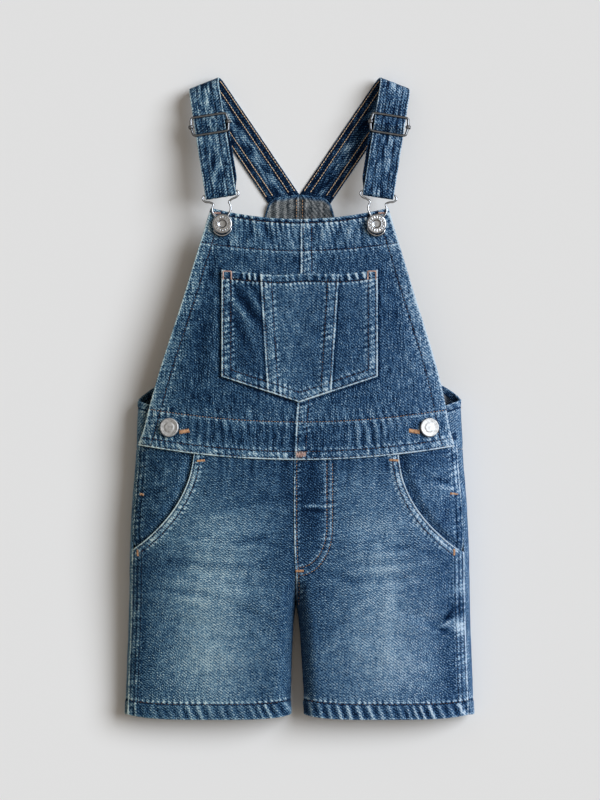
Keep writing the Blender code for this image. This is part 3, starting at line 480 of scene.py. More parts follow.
def roped(place, depth, seed, period=7.4, slant=0.55, worn=0.44, raised=0.5, fringe=4.0):
    """Turned hem on the left of its edge, twisted like a rope by its washing.

    Slanting ridges cross it, faded on top and dark between; short ones run on past its row of
    stitches and die away.
    """
    d, s = place
    hem = smooth(d / 0.8 + 0.5) * (1 - smooth((d - depth) / 1.4 + 0.5))
    wave = ripple(s + slant * d, period, seed)
    ridge = np.maximum(wave, 0) ** 2 * np.clip(0.75 + 0.6 * wobble(s, 11.0, seed + 6), 0.15, 1.25)
    trough = np.maximum(-wave, 0) * bell((d / depth - 0.5) / 0.42)
    past = np.where(d > depth, np.exp(-(d - depth) / fringe), 0.0)
    cut = bell((d - depth + 0.5) / 0.65)
    fine = ripple(s + 0.2 * d, 0.6 * period, seed + 3)
    lift = hem * (raised + 0.42 * wave) - 0.4 * cut + 0.22 * past * fine
    # Painted shade: the row of stitches is darkened in its groove (the - 0.5 * cut).
    tone = hem * (1.9 * worn * ridge - 0.36 * trough) * (1 - cut) - 0.5 * cut
    tone += 0.5 * worn * bell((d - 0.7) / 0.8) + worn * past * (0.25 + 0.8 * fine)
    tone += worn * (0.5 + 0.5 * fine) * bell((d - depth - 1.1) / 0.8)
    return np.stack((lift, tone))


def stitched(place, seed, period=5.2, reach=3.5, worn=0.26):
    """Single row of stitches: a shallow groove, painted darker as shade, with short puckers on
    both sides.

    The cloth just to the right of the row has faded in a thin line.
    """
    d, s = place
    cut = bell((d - 0.2) / 0.7)
    wave = ripple(s + 0.3 * d, period, seed)
    near = np.exp(-np.abs(d) / reach) * (1 - cut)
    lift = -0.4 * cut + 0.22 * near * wave
    # Painted shade: the groove of the row is darkened (the - 0.30 * cut).
    tone = worn * near * (0.35 + 1.2 * wave) - 0.30 * cut + worn * bell((d + 1.3) / 0.7)
    return np.stack((lift, tone))


def creased(rows, x, y):
    return np.stack((creases(rows, "height", x, y), creases(rows, "wear", x, y)))


def rumpled(x, y, seed, size=11.0, height=0.22):
    """Slight unevenness all over a panel, with a little fading on the high spots."""
    large = clouds(x, y, size, seed)
    small = clouds(x + 0.4 * y, y, 0.42 * size, seed + 1)
    return np.stack((height * (large + 0.4 * small), 0.018 * large + 0.012 * small))


# Large faded and dark areas of the front: middle, half sizes and tone. Several are painted light
# and shade from the key light at +X: the lighter strips at x 140 and x 98 are painted light; the
# darker strips at x -140 and x -96, the darkening at the crotch (x 0, y 120) and along the waist
# seam (y 226), and the dark patch inward of the +X side seam (x 131, y 42) are painted shade.
FADES_AND_PAINTED_LIGHT = table(
    "x y half_x half_y tone",
    (-76, 114, 42, 62, 0.34), (74, 112, 44, 66, 0.31), (-80, 44, 44, 34, 0.25),
    (76, 42, 46, 36, 0.25), (-52, 168, 40, 24, 0.12), (60, 172, 36, 24, 0.13),
    (8, 188, 18, 56, -0.21), (0, 120, 14, 36, -0.05), (-28, 30, 10, 60, -0.01),
    (-140, 90, 13, 120, -0.06), (140, 90, 12, 120, 0.09), (139.5, 82.4, 6, 4.8, 0.62),
    (138, 96, 9, 8, -0.26), (-146, 92, 8, 6, 0.2), (0, 226, 160, 9, -0.04),
    (-110, 214, 22, 18, 0.06), (122, 200, 24, 34, 0.16), (-76, 12, 70, 12, 0.02),
    (76, 12, 70, 12, -0.03), (-30, 246, 80, 11, -0.08), (70, 250, 50, 10, 0.06),
    (52, 205, 30, 14, 0.09), (60, 425, 40, 18, 0.04), (0, 400, 90, 8, -0.04),
    (-96, 330, 14, 60, -0.08), (98, 330, 22, 60, 0.1), (131, 42, 8, 34, -0.14),
    (-56, 278, 38, 10, -0.08), (66, 122, 46, 26, -0.035), (114, 60, 13, 40, 0.07),
    (6, 320, 34, 40, 0.05), (-54, 340, 18, 44, -0.05), (0, 246, 100, 14, -0.02),
)


def fade_and_painted_light(x, y):
    """Tone of the washed front: soft ellipses of fading, of painted light and of painted shade,
    and streaks down the cloth.
    """
    total = 0.33
    for k in range(len(FADES_AND_PAINTED_LIGHT["x"])):
        dx = (x - FADES_AND_PAINTED_LIGHT["x"][k]) / FADES_AND_PAINTED_LIGHT["half_x"][k]
        dy = (y - FADES_AND_PAINTED_LIGHT["y"][k]) / FADES_AND_PAINTED_LIGHT["half_y"][k]
        total = total + FADES_AND_PAINTED_LIGHT["tone"][k] * np.exp(-dx ** 2 - dy ** 2)
    folds = bell((y - 146.0) / 36.0) * bell((np.abs(x) - 72.0) / 46.0)
    level = y + 4.0 * wobble(x, 26.0, 63) - 0.12 * np.abs(x)
    total = total + 0.085 * folds * ripple(level, 15.0, 64)
    return total + 0.022 * clouds(x * 2.6, y * 0.35, 14.0, 61) + 0.03 * clouds(x, y, 23.0, 62)


# -------- seam lines, in x and y

def between(low, high, step):
    """Even steps from low up to high, with high itself at the end."""
    return np.unique(np.clip(np.arange(low, high + step, step), low, high))


def upward(rule_x, low, high, step=3.0):
    """Line up the garment, whose x is a rule of y."""
    y = between(low, high, step)
    return np.column_stack((rule_x(y) + 0.0 * y, y))


def rightward(rule_y, low, high, step=3.0):
    """Line across the garment, whose y is a rule of x."""
    x = between(low, high, step)
    return np.column_stack((x, rule_y(x) + 0.0 * x))


def through(*points):
    """Smooth line through a few points."""
    return resampled(np.array(points, dtype=float), 3.0)


def up_side(side, rule_u, low, high, step=3.0):
    """Line up one side of the garment, with what lies inside it on its left."""
    line = upward(lambda y: side * rule_u(side, y), low, high, step)
    return line if side > 0 else line[::-1]


def side_seam_line(side, low=0.0, high=FRONT_TOP):
    return up_side(side, side_seam_u, low, high)


def hip_line(side, low=147.5, high=FRONT_TOP):
    """Edge of the hip pocket."""
    return up_side(side, hip_pocket_u, low, high, 2.0)


def hem_line(side):
    """Hem of a leg, with the leg on its left."""
    ends = sorted((side * middle_u(side, 0.0), side * side_seam_u(side, 0.0)))
    return rightward(lambda x: hem_y(side, np.abs(x)), *ends)


def in_hem(y):
    """1 in the turned hem of a leg, 0 above it."""
    return 1 - smooth((y - HEM_DEPTH) / 1.5)


def hem_y(side, u):
    """Height of the hem, which climbs towards both sides of the leg."""
    inner, outer = middle_u(side, 0.0), at(BODY, "half_width", 0.0)
    share = np.abs(2 * (u - inner) / (outer - inner) - 1)
    return HEM_RISE * np.clip(share, 0, 1) ** 4


FLY_ROWS = (29.0, 24.1)   # half widths of the fly's two rows of stitches
FLY_BEND_Y = 168.5
FLY_DROP = 42.0
RISE = table(
    "y x",
    (100, -3.05), (124, -3.2), (140, -4.3), (165, -5), (200, -5.1), (240, -5),
)
RISE_ROW = 2.6            # row of stitches beside the rise's folded edge
# Folded edge of the bib's centre seam, from its top down.
CENTRE_EDGE = ((1.3, 440), (1.2, 395), (0.2, 330), (-1.6, 276), (-3.3, 250), (-3.7, 225))


def fly_line(half_width):
    """J of the fly: straight down, then a quarter ellipse in to the rise seam."""
    straight = np.linspace(240.0, FLY_BEND_Y, 24)
    angle = np.linspace(0, math.pi / 2, 30)[1:]
    drop = FLY_DROP * half_width / FLY_ROWS[0]
    x = np.concatenate((np.full(24, half_width), half_width * np.cos(angle))) - 0.4
    y = np.concatenate((straight, FLY_BEND_Y - drop * np.sin(angle)))
    return np.column_stack((x, y))


def bib_edge_line(side):
    def rule_u(side, y):
        return at(BIB_EDGE, "u", y) + side * twist(y)
    return up_side(side, rule_u, band_y(BAND_SIDE_U), bib_top_y(BIB_TOP_SIDE_U))


def across_bib(rule_y, backwards=False):
    """Line across the bib between its side edges, upper side on its left."""
    y = rule_y(100.0)
    ends = [sign * at(BIB_EDGE, "u", y) + twist(y) for sign in (-1, 1)]
    line = rightward(lambda x: rule_y(np.abs(x)), *ends)
    return line[::-1] if backwards else line


def facing_y(u):
    """Row of stitches that holds the bib's facing, a little deeper in the middle."""
    return 408.8 + 7.2 * (u / 85.0) ** 2


def band_top_y(u):
    return band_y(u) + BAND_DEPTH


def pocket_low_y(x):
    slope = (POCKET_CORNER_Y - POCKET_POINT_Y) / POCKET_HALF_WIDTH
    return POCKET_POINT_Y + slope * np.abs(x)


def pocket_top_y(x):
    wave = 0.9 * np.sin(x / 9.5 + 0.6) * (1 - np.abs(x) / POCKET_HALF_WIDTH)
    return POCKET_TOP_Y + POCKET_TOP_CORNER_LIFT * (np.abs(x) / POCKET_HALF_WIDTH) ** 3 + wave


def straight(a, b, step=1.5):
    """Line of points between two ends."""
    a, b = np.array(a, dtype=float), np.array(b, dtype=float)
    t = np.linspace(0, 1, max(2, int(np.linalg.norm(b - a) / step) + 1))[:, None]
    return a * (1 - t) + b * t


def pocket_outline(inset=0.0, lift=POCKET_TOP_CORNER_LIFT, step=3.0):
    """Sides and lower edge of the bib pocket, from top left round to top right.

    inset is the distance inside them, with the corners kept sharp.
    """
    half = POCKET_HALF_WIDTH - inset
    slope = (POCKET_CORNER_Y - POCKET_POINT_Y) / POCKET_HALF_WIDTH
    point = POCKET_POINT_Y + inset * math.hypot(1.0, slope)
    high, corner = POCKET_TOP_Y + lift, point + slope * half
    corners = ((-half, high), (-half, corner), (0.0, point), (half, corner), (half, high))
    sides = [straight(a, b, step)[:-1] for a, b in zip(corners, corners[1:])]
    return np.concatenate(sides + [[corners[-1]]])


def pocket_seam_line(sign):
    """Folded edge of one of the pocket's two felled seams, with the seam on its left."""
    low = (sign * POCKET_SEAM_LOW_U, POCKET_CORNER_Y - 14.0)
    high = (sign * POCKET_SEAM_TOP_U, POCKET_TOP_Y + 2.0)
    line = np.array((low, high)) if sign > 0 else np.array((high, low))
    return resampled(line, 3.0)


# -------- meshes

def place_mesh(name, points, faces, material):
    """Object at the origin whose mesh holds its place, in metres."""
    mesh = bpy.data.meshes.new(name)
    placed = (np.asarray(points, dtype=float) - (0, LENGTH / 2, 0)) * MM
    mesh.from_pydata(placed.tolist(), [], faces)
    mesh.materials.append(material)
    mesh.shade_smooth()
    thing = bpy.data.objects.new(name, mesh)
    bpy.context.scene.collection.objects.link(thing)
    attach(thing, BODY_NAME)
    return thing


def joined(name, parts, material):
    """One object of several closed meshes, each points and faces."""
    points = np.concatenate([part for part, _ in parts])
    before = np.cumsum([0] + [len(part) for part, _ in parts]).tolist()
    faces = [[i + count for i in face] for count, (_, own) in zip(before, parts) for face in own]
    return place_mesh(name, points, faces, material)


def set_attribute(thing, name, values):
    attribute = thing.data.attributes.new(name, "FLOAT", "POINT")
    attribute.data.foreach_set("value", np.asarray(values, dtype=np.float32).ravel())


def set_uv(thing, uv):
    """UV map from a place for each vertex, in metres of cloth."""
    mesh = thing.data
    corners = np.zeros(len(mesh.loops), dtype=np.int32)
    mesh.loops.foreach_get("vertex_index", corners)
    layer = mesh.uv_layers.new(name="Cloth")
    layer.data.foreach_set("uv", uv[corners].astype(np.float32).ravel())


def walk(points, axis):
    """Distance along the grid's rows or columns at each point."""
    step = np.linalg.norm(np.diff(points, axis=axis), axis=-1)
    pad = [(0, 0), (0, 0)]
    pad[axis] = (1, 0)
    return np.pad(np.cumsum(step, axis=axis), pad)


def edge_distance(points):
    """Distance of each grid point from the nearest edge of the sheet."""
    down, right = walk(points, 0), walk(points, 1)
    return np.minimum.reduce((down, down[-1:] - down, right, right[:, -1:] - right))


EDGE_STEPS = (0.0, 0.12, 0.4, 0.85, 1.4)
TURNED = 9.0              # width of a turned edge on the inner face


def spread(length, step, near=EDGE_STEPS, far=EDGE_STEPS):
    """Shares from 0 to 1 along a length: close together at both ends, even between."""
    even = max(2, int(round((length - near[-1] - far[-1]) / step)))
    even += 1 - (len(near) + len(far) + even) % 2
    between = np.linspace(near[-1], length - far[-1], even)
    return np.concatenate((near[:-1], between, length - np.array(far[-2::-1]))) / length


def ring_faces(index):
    """Quads between neighbouring rows of points, each row closed into a ring."""
    index = np.concatenate((index, index[:, :1]), axis=1)
    quads = (index[:-1, :-1], index[1:, :-1], index[1:, 1:], index[:-1, 1:])
    return np.stack(quads, -1).reshape(-1, 4)


def shell_faces(rows, cols):
    """Faces of a closed shell: outer sheet, inner sheet and the rim between their edges.

    The inner sheet has every second row and column of the outer one, so each face of the rim
    has three outer corners and two inner ones.
    """
    outer = np.arange(rows * cols).reshape(rows, cols)
    inner_rows, inner_cols = (rows + 1) // 2, (cols + 1) // 2
    inner = rows * cols + np.arange(inner_rows * inner_cols).reshape(inner_rows, inner_cols)
    top = np.stack((outer[:-1, :-1], outer[:-1, 1:], outer[1:, 1:], outer[1:, :-1]), -1)
    low = np.stack((inner[1:, :-1], inner[1:, 1:], inner[:-1, 1:], inner[:-1, :-1]), -1)
    fine, coarse = (np.concatenate((index[0, :-1], index[:-1, -1], index[-1, :0:-1],
                                    index[:0:-1, 0])) for index in (outer, inner))
    rim = np.stack((np.roll(fine, -2)[::2], fine[1::2], fine[::2], coarse,
                    np.roll(coarse, -1)), -1)
    return top.reshape(-1, 4), low.reshape(-1, 4), rim


def shell(name, points, normals, tone, material, wall=PANEL, bare=None, uv=None, under=None,
          where=(0.5, 0.5)):
    """Closed wall of cloth below a sheet of outer points.

    Its edges are rounded: within half the wall of an edge both faces bend in towards the
    middle of the wall along a quarter circle. The inside attribute marks the undyed inner
    face, by bare or else from where the turned edges end. under is the tone of the inner face.
    where is the spot at which the grid's hand is compared with its normals.
    """
    rows, cols = points.shape[:2]
    away = edge_distance(points)
    wall = np.broadcast_to(wall, (rows, cols))
    radius = wall / 2
    bend = 0.86 * radius * (1 - quarter(away / radius))
    outer = points - bend[..., None] * normals
    inner = (points - (wall - bend)[..., None] * normals)[::2, ::2]
    i, j = int(rows * where[0]), int(cols * where[1])
    hand = np.cross(points[i, j + 1] - points[i, j], points[i + 1, j] - points[i, j])
    turn = -1 if np.dot(hand, normals[i, j]) < 0 else 1
    faces = [face for part in shell_faces(rows, cols) for face in part[:, ::turn].tolist()]
    both = np.concatenate((outer.reshape(-1, 3), inner.reshape(-1, 3)))
    piece = place_mesh(name, both, faces, material)
    if uv is None:
        rightward_hand = np.sign(points[i, -1, 0] - points[i, 0, 0])
        gone = walk(points, 1)
        middle = slice(cols // 2, cols // 2 + 1)
        x = points[:, middle, 0] + rightward_hand * (gone - gone[:, middle])
        uv = np.stack((x, points[..., 1]), -1)
    uv = uv * MM
    set_uv(piece, np.concatenate((uv.reshape(-1, 2), uv[::2, ::2].reshape(-1, 2) + 0.37)))
    under = (0.5 + 0.0 * tone if under is None else under)[::2, ::2]
    bare = (smooth((away - TURNED) / 1.2) if bare is None else bare)[::2, ::2]
    set_attribute(piece, "tone", np.concatenate((tone.ravel(), under.ravel())))
    set_attribute(piece, "inside", np.concatenate((0 * tone.ravel(), bare.ravel())))
    return piece


def grid_normals(points, towards, where):
    """Normals of a grid of points, turned so that the one at a spot faces towards."""
    normal = unit(np.cross(np.gradient(points, axis=1), np.gradient(points, axis=0)))
    spot = normal[int(len(normal) * where[0]), int(len(normal[0]) * where[1])]
    return normal * (1.0 if np.dot(spot, towards) > 0 else -1.0)


def tube(path, radius, sides):
    """Round wire along a closed path that never runs straight up: points and faces."""
    along = unit(np.roll(path, -1, axis=0) - np.roll(path, 1, axis=0))
    right = unit(np.cross(along, (0.0, 0.0, 1.0)))
    up = np.cross(right, along)
    angle = (np.arange(sides) / sides * 2 * math.pi)[None, :, None]
    ring = np.cos(angle) * right[:, None] + np.sin(angle) * up[:, None]
    index = np.arange(len(path) * sides).reshape(len(path), sides)
    faces = ring_faces(np.concatenate((index, index[:1])))
    return (path[:, None] + radius * ring).reshape(-1, 3), faces.tolist()


# -------- thread

THREAD_SIDES = 5
# Rings of one stitch: share of its length, of its radius, and height above its seat.
STITCH_RINGS = table(
    "along radius height",
    (-0.5, 0.35, -0.55), (-0.36, 0.9, 0.1), (0, 1, 0.42), (0.36, 0.9, 0.1), (0.5, 0.35, -0.55),
)


def stitches(places, normals, along, length, radius):
    """Points and faces of a row of stitches: one arched grain of thread at each place."""
    right = unit(np.cross(along, normals))
    angle = np.arange(THREAD_SIDES) / THREAD_SIDES * 2 * math.pi
    share, wide, high = (STITCH_RINGS[name][:, None] for name in ("along", "radius", "height"))
    forward = share * length * np.ones(THREAD_SIDES)
    sideways = wide * radius * np.cos(angle)
    raised = high * radius + wide * radius * np.sin(angle)
    points = (places[:, None, None] + forward[None, ..., None] * along[:, None, None]
              + sideways[None, ..., None] * right[:, None, None]
              + raised[None, ..., None] * normals[:, None, None])
    index = np.arange(forward.size).reshape(forward.shape)
    shift = np.arange(len(places)) * index.size
    faces = (ring_faces(index)[None] + shift[:, None, None]).reshape(-1, 4).tolist()
    for cap in (index[0], index[-1, ::-1]):
        faces.extend((cap[None] + shift[:, None]).tolist())
    return points.reshape(-1, 3), faces


def sew(line, face, pitch, radius, seed, share=0.68, jitter=0.08):
    """Row of stitches along a line in x and y, lying on a face function of x and y."""
    length = distances(line)
    count = max(1, int(length[-1] / pitch))
    middles = (np.arange(count) + 0.5) * length[-1] / count
    (point, normal), (ahead, _), (behind, _) = (
        face(*(np.interp(middles + step, length, line[:, k]) for k in (0, 1)))
        for step in (0.0, 0.5, -0.5))
    along = unit(ahead - behind)
    aside = np.random.default_rng(seed).uniform(-jitter, jitter, count)
    point = point + np.cross(along, normal) * aside[:, None]
    return stitches(point, normal, along, pitch * share, radius)


def bartack(start, end, face, width, radius=0.34, pitch=0.62):
    """Tight zigzag of thread across a short line, one bar for each step."""
    start, end = np.array(start), np.array(end)
    length = np.linalg.norm(end - start)
    count = max(2, int(length / pitch))
    place = start + ((np.arange(count) + 0.5) / count)[:, None] * (end - start)
    step = (end - start) / length
    lean = np.where(np.arange(count) % 2, 0.16, -0.16)[:, None]
    half = np.array((-step[1], step[0])) + lean * step
    point, normal = face(*place.T)
    along = unit(face(*(place + half).T)[0] - face(*(place - half).T)[0])
    return stitches(point + 0.3 * normal, normal, along, width, radius)


# -------- shader groups and materials

def node(tree, kind, inputs=None, **settings):
    """Shader node with its inputs set to values or linked to other nodes' outputs."""
    made = tree.nodes.new("ShaderNode" + kind)
    made.location = (180 * (len(tree.nodes) % 9), -260 * (len(tree.nodes) // 9))
    for key, value in settings.items():
        setattr(made, key, value)
    for key, value in (inputs or {}).items():
        if isinstance(value, bpy.types.NodeSocket):
            tree.links.new(value, made.inputs[key])
        else:
            made.inputs[key].default_value = value
    return made


def math_node(tree, operation, a, b):
    return node(tree, "Math", {0: a, 1: b}, operation=operation).outputs[0]


def mix_node(tree, factor, first, second, **settings):
    """Colour between two colours, or another blend of them."""
    inputs = {0: factor, 6: first, 7: second}
    return node(tree, "Mix", inputs, data_type="RGBA", **settings).outputs[2]


def ramp(tree, stops, factor, interpolation="LINEAR"):
    """Colour read off a ramp through (place, colour) stops."""
    made = node(tree, "ValToRGB", {"Fac": factor})
    elements = made.color_ramp.elements
    made.color_ramp.interpolation = interpolation
    while len(elements) < len(stops):
        elements.new(0.5)
    for element, (place, colour) in zip(elements, stops):
        element.position = place
        element.color = (*colour, 1.0)
    return made.outputs["Color"]


def new_group(name, inputs, outputs):
    """Empty shader group from its inputs' defaults and its outputs' types."""
    tree = bpy.data.node_groups.new(name, "ShaderNodeTree")
    for label, default in inputs.items():
        kind = "NodeSocketColor" if isinstance(default, tuple) else "NodeSocketFloat"
        tree.interface.new_socket(label, in_out="INPUT", socket_type=kind).default_value = default
    for label, kind in outputs.items():
        tree.interface.new_socket(label, in_out="OUTPUT", socket_type="NodeSocket" + kind)
    return tree, tree.nodes.new("NodeGroupInput").outputs, tree.nodes.new("NodeGroupOutput").inputs


# Washed indigo from raw to bare, and the undyed face inside, as linear colours.
INDIGO = (
    (0.0, (0.0010, 0.0060, 0.021)),
    (0.2, (0.0050, 0.0245, 0.071)),
    (0.4, (0.0250, 0.0760, 0.170)),
    (0.6, (0.0860, 0.1820, 0.303)),
    (0.8, (0.2300, 0.3750, 0.505)),
    (1.0, (0.5400, 0.6700, 0.755)),
)
UNDYED = (
    (0.0, (0.012, 0.016, 0.021)),
    (0.5, (0.105, 0.121, 0.136)),
    (1.0, (0.390, 0.400, 0.410)),
)
# Fields of noise in the cloth: cell size across and along in millimetres, detail, amount of
# tone and amount of height.
WEAVE = (
    ("Speckle", 0.87, 0.87, 0.0, 1.06, 0.0),
    ("Slub", 1.3, 12.0, 1.0, 0.80, 0.25),
    ("Weft", 10.0, 1.2, 0.0, 0.25, 0.0),
    ("Mottle", 7.0, 12.0, 1.0, 0.16, 0.0),
)
TWILL_PERIOD = 2.0        # from wale to wale, in millimetres
TWILL_TURN = -52.4        # degrees that bring the direction across the wales onto X
TWILL_TONE = 0.30
TWILL_HEIGHT = 0.5
# Painted light: tints at the garment's right and left side, which are this far out, as from a
# warmer light on the right: the left is bluer.
PAINTED_LIGHT_TINTS = ((1.0, 1.0, 0.87, 1.0), (1.0, 1.0, 1.09, 1.0))
PAINTED_TINT_AT = 0.15


def cloth_group():
    """Cloth: tone is the attribute plus twill wales and noise, read off a ramp of indigo, then
    given a painted light tint across X.
    """
    tree, given, result = new_group(
        "Washed denim", {"Shade": 0.0, "Grain": 1.0, "Streaks": 1.0},
        {"Color": "Color", "Height": "Float"})
    place = node(tree, "UVMap", uv_map="Cloth").outputs["UV"]
    tone = node(tree, "Attribute", attribute_name="tone").outputs["Fac"]
    inside = node(tree, "Attribute", attribute_name="inside").outputs["Fac"]
    total = math_node(tree, "ADD", tone, given["Shade"])
    turn = (0.0, 0.0, math.radians(TWILL_TURN))
    turned = node(tree, "Mapping", {"Vector": place, "Rotation": turn})
    wales = node(tree, "TexWave", {
        "Vector": turned.outputs[0], "Scale": math.pi / 10 * 1000 / TWILL_PERIOD,
        "Distortion": 0.8, "Detail Scale": 0.3})
    wave = math_node(tree, "SUBTRACT", wales.outputs["Fac"], 0.5)
    total = math_node(tree, "ADD", total, math_node(tree, "MULTIPLY", wave, TWILL_TONE))
    height = math_node(tree, "MULTIPLY", wave, TWILL_HEIGHT)
    for k, (label, across, along, detail, amount, raised) in enumerate(WEAVE):
        mapping = node(tree, "Mapping", {
            "Vector": place, "Scale": (1000 / across, 1000 / along, 1.0),
            "Location": (17.3 * k, 5.1 * k, 3.7 * k)})
        noise = node(tree, "TexNoise", {"Vector": mapping.outputs[0], "Scale": 1.0,
                                        "Detail": detail}, label=label, noise_dimensions="2D")
        wave = math_node(tree, "SUBTRACT", noise.outputs["Fac"], 0.5)
        part = math_node(tree, "MULTIPLY", wave, amount)
        part = math_node(tree, "MULTIPLY", part, given["Streaks" if label == "Slub" else "Grain"])
        total = math_node(tree, "ADD", total, part)
        if raised:
            height = math_node(tree, "ADD", height, math_node(tree, "MULTIPLY", wave, raised))
    colour = mix_node(tree, inside, ramp(tree, INDIGO, total, "EASE"), ramp(tree, UNDYED, total))
    where = node(tree, "SeparateXYZ", {0: node(tree, "TexCoord").outputs["Object"]})
    sideways = node(tree, "MapRange", {
        "Value": where.outputs["X"], "From Min": -PAINTED_TINT_AT, "From Max": PAINTED_TINT_AT})
    # Painted light: a warmer tint towards -X and a bluer one towards +X.
    painted_light_tint = mix_node(tree, sideways.outputs["Result"], *PAINTED_LIGHT_TINTS)
    colour = mix_node(tree, 1.0, colour, painted_light_tint, blend_type="MULTIPLY")
    tree.links.new(colour, result["Color"])
    tree.links.new(height, result["Height"])
    return tree


def tint_group():
    """Colour made uneven: noise in object space moves it towards a second colour."""
    tree, given, result = new_group(
        "Uneven tint", {"First": (0.5, 0.5, 0.5, 1), "Second": (0.3, 0.3, 0.3, 1), "Scale": 900.0},
        {"Color": "Color", "Mask": "Float"})
    place = node(tree, "TexCoord").outputs["Object"]
    noise = node(tree, "TexNoise", {"Vector": place, "Scale": given["Scale"], "Detail": 2.0})
    mask = node(tree, "MapRange", {"Value": noise.outputs["Fac"], "From Min": 0.36,
                                   "From Max": 0.66}, interpolation_type="SMOOTHSTEP")
    mask = mask.outputs["Result"]
    tree.links.new(mix_node(tree, mask, given["First"], given["Second"]), result["Color"])
    tree.links.new(mask, result["Mask"])
    return tree


def plain_material(name, finish):
    """New material, its node tree and its shader, with the finish set on the shader."""
    material = bpy.data.materials.new(name)
    material.use_nodes = True
    shader = material.node_tree.nodes["Principled BSDF"]
    for key, value in finish.items():
        shader.inputs[key].default_value = value
    return material, material.node_tree, shader


def grouped(tree, name, maker, values):
    """Node of a shared group, which is made the first time."""
    group = bpy.data.node_groups.get(name) or maker()
    return node(tree, "Group", values, node_tree=group).outputs


def denim(name="Denim", grain=1.0, streaks=0.35, relief=0.15):
    """Denim cloth; relief is the height of its weave in millimetres."""
    if name in bpy.data.materials:
        return bpy.data.materials[name]
    finish = {"Roughness": 0.92, "Specular IOR Level": 0.06}
    material, tree, shader = plain_material(name, finish)
    cloth = grouped(tree, "Washed denim", cloth_group,
                    {"Shade": 0.0, "Grain": grain, "Streaks": streaks})
    bump = node(tree, "Bump", {
        "Strength": 1.0, "Distance": relief * MM, "Height": cloth["Height"]})
    tree.links.new(cloth["Color"], shader.inputs["Base Color"])
    tree.links.new(bump.outputs["Normal"], shader.inputs["Normal"])
    return material


def tinted(name, first, second, scale, finish):
    """Material of an uneven colour and an even finish, its tree, its shader and that colour."""
    material, tree, shader = plain_material(name, finish)
    tint = grouped(tree, "Uneven tint", tint_group,
                   {"First": (*first, 1), "Second": (*second, 1), "Scale": scale})
    tree.links.new(tint["Color"], shader.inputs["Base Color"])
    return material, tree, shader, tint["Color"]


# Threads: two colours, between which each wanders, and roughness.
THREADS = {
    "Tan thread": ((0.58, 0.410, 0.280), (0.20, 0.125, 0.085), 0.8),
    "Orange thread": ((0.72, 0.430, 0.240), (0.46, 0.240, 0.130), 0.8),
    "Gold thread": ((0.95, 0.720, 0.480), (0.66, 0.460, 0.290), 0.8),
    "Rust thread": ((0.15, 0.100, 0.080), (0.02, 0.022, 0.030), 0.85),
    "Navy thread": ((0.010, 0.018, 0.036), (0.035, 0.050, 0.080), 0.85),
    "Pink thread": ((0.76, 0.540, 0.460), (0.46, 0.280, 0.250), 0.8),
}
# Metals: colour of the face and the painted shade of the sides, scale of the mottling, roughness,
# and blend.
METALS = {
    "Nickel": ((0.60, 0.63, 0.68), (0.04, 0.045, 0.05), 260.0, 0.27, 0.45),
    "Brushed nickel": ((0.74, 0.75, 0.76), (0.09, 0.09, 0.10), 500.0, 0.6, 0.30),
    # Dark nickel: partly a darker metal, partly painted shade on the slider's bars.
    "Dark nickel": ((0.27, 0.285, 0.31), (0.012, 0.012, 0.014), 300.0, 0.3, 0.5),
}


def thread(name):
    if name in bpy.data.materials:
        return bpy.data.materials[name]
    first, second, roughness = THREADS[name]
    finish = {"Roughness": roughness, "Metallic": 0.0, "Specular IOR Level": 0.3}
    return tinted(name, first, second, 500.0, finish)[0]


def metal(name):
    """Metal whose sides, seen at a slant, are painted darker than its face: painted shade."""
    if name in bpy.data.materials:
        return bpy.data.materials[name]
    face, rim, scale, roughness, blend = METALS[name]
    finish = {"Roughness": roughness, "Metallic": 1.0, "Specular IOR Level": 0.3}
    darker = tuple(0.72 * c for c in face)
    material, tree, shader, colour = tinted(name, face, darker, scale, finish)
    # Painted shade: the sides, seen at a slant, are blended to the darker side colour.
    slant = node(tree, "LayerWeight", {"Blend": blend}).outputs["Facing"]
    tree.links.new(mix_node(tree, slant, colour, (*rim, 1)), shader.inputs["Base Color"])
    return material


# -------- front of the legs

HIP_BAND = 7.6            # width of the hip pocket's turned edge
HIP_LOW_Y = 146.0         # where the pocket's turned edge meets the side seam
RISE_SEAM = 4.0
FACING_LOW_Y = 142.0
FACING_SEAM = 7.0         # what shows of the side seam's strip beside the facing
FACING_ROWS = (1.6, 5.6)
FACING_UNDERLAP = 12.0    # how far the facing runs on under the pocket's edge
SIDE_ROWS = (1.8, 5.2, 8.6)
HIP_ROWS = (1.7, 6.3)
INNER_STEPS = (0.0, 0.02, 0.12, 0.4, 0.85, 1.4, 2.1, 2.9, 3.8)


def rise_u(side, y):
    """Where a half of the front begins: the inside of the leg, then the lapped rise seam."""
    return np.where(y < RISE["y"][0], middle_u(side, y), side * at(RISE, "x", y) + 0.15)


def front_end_u(side, y):
    """Outer edge of the front: the side seam, then the hip pocket."""
    pocket = hip_pocket_u(side, y) + np.maximum(HIP_POCKET["y"][0] - y, 0) * 2.5
    return np.minimum(side_seam_u(side, y), pocket)


def row_climb(y):
    """How far the front's rows have bent from level at the crotch to the waistband's curve."""
    start = CROTCH_Y + CROTCH_RISE
    return smooth((y - start) / (FRONT_TOP - start))


def row_end(level, edge):
    """u and y where rows of the front, named by their height at the middle, meet an edge."""
    y = level
    for _ in range(8):
        u = edge(y)
        y = level + (band_y(u) - BAND_MID_Y) * row_climb(level)
    return u, y


def front_grid(levels, shares, start, end):
    """u and y of a grid over the front between two edges, each a rule of y."""
    first, _ = row_end(levels, start)
    last, _ = row_end(levels, end)
    u = first[:, None] + (last - first)[:, None] * shares
    y = levels[:, None] + (band_y(u) - BAND_MID_Y) * row_climb(levels)[:, None]
    return u, y


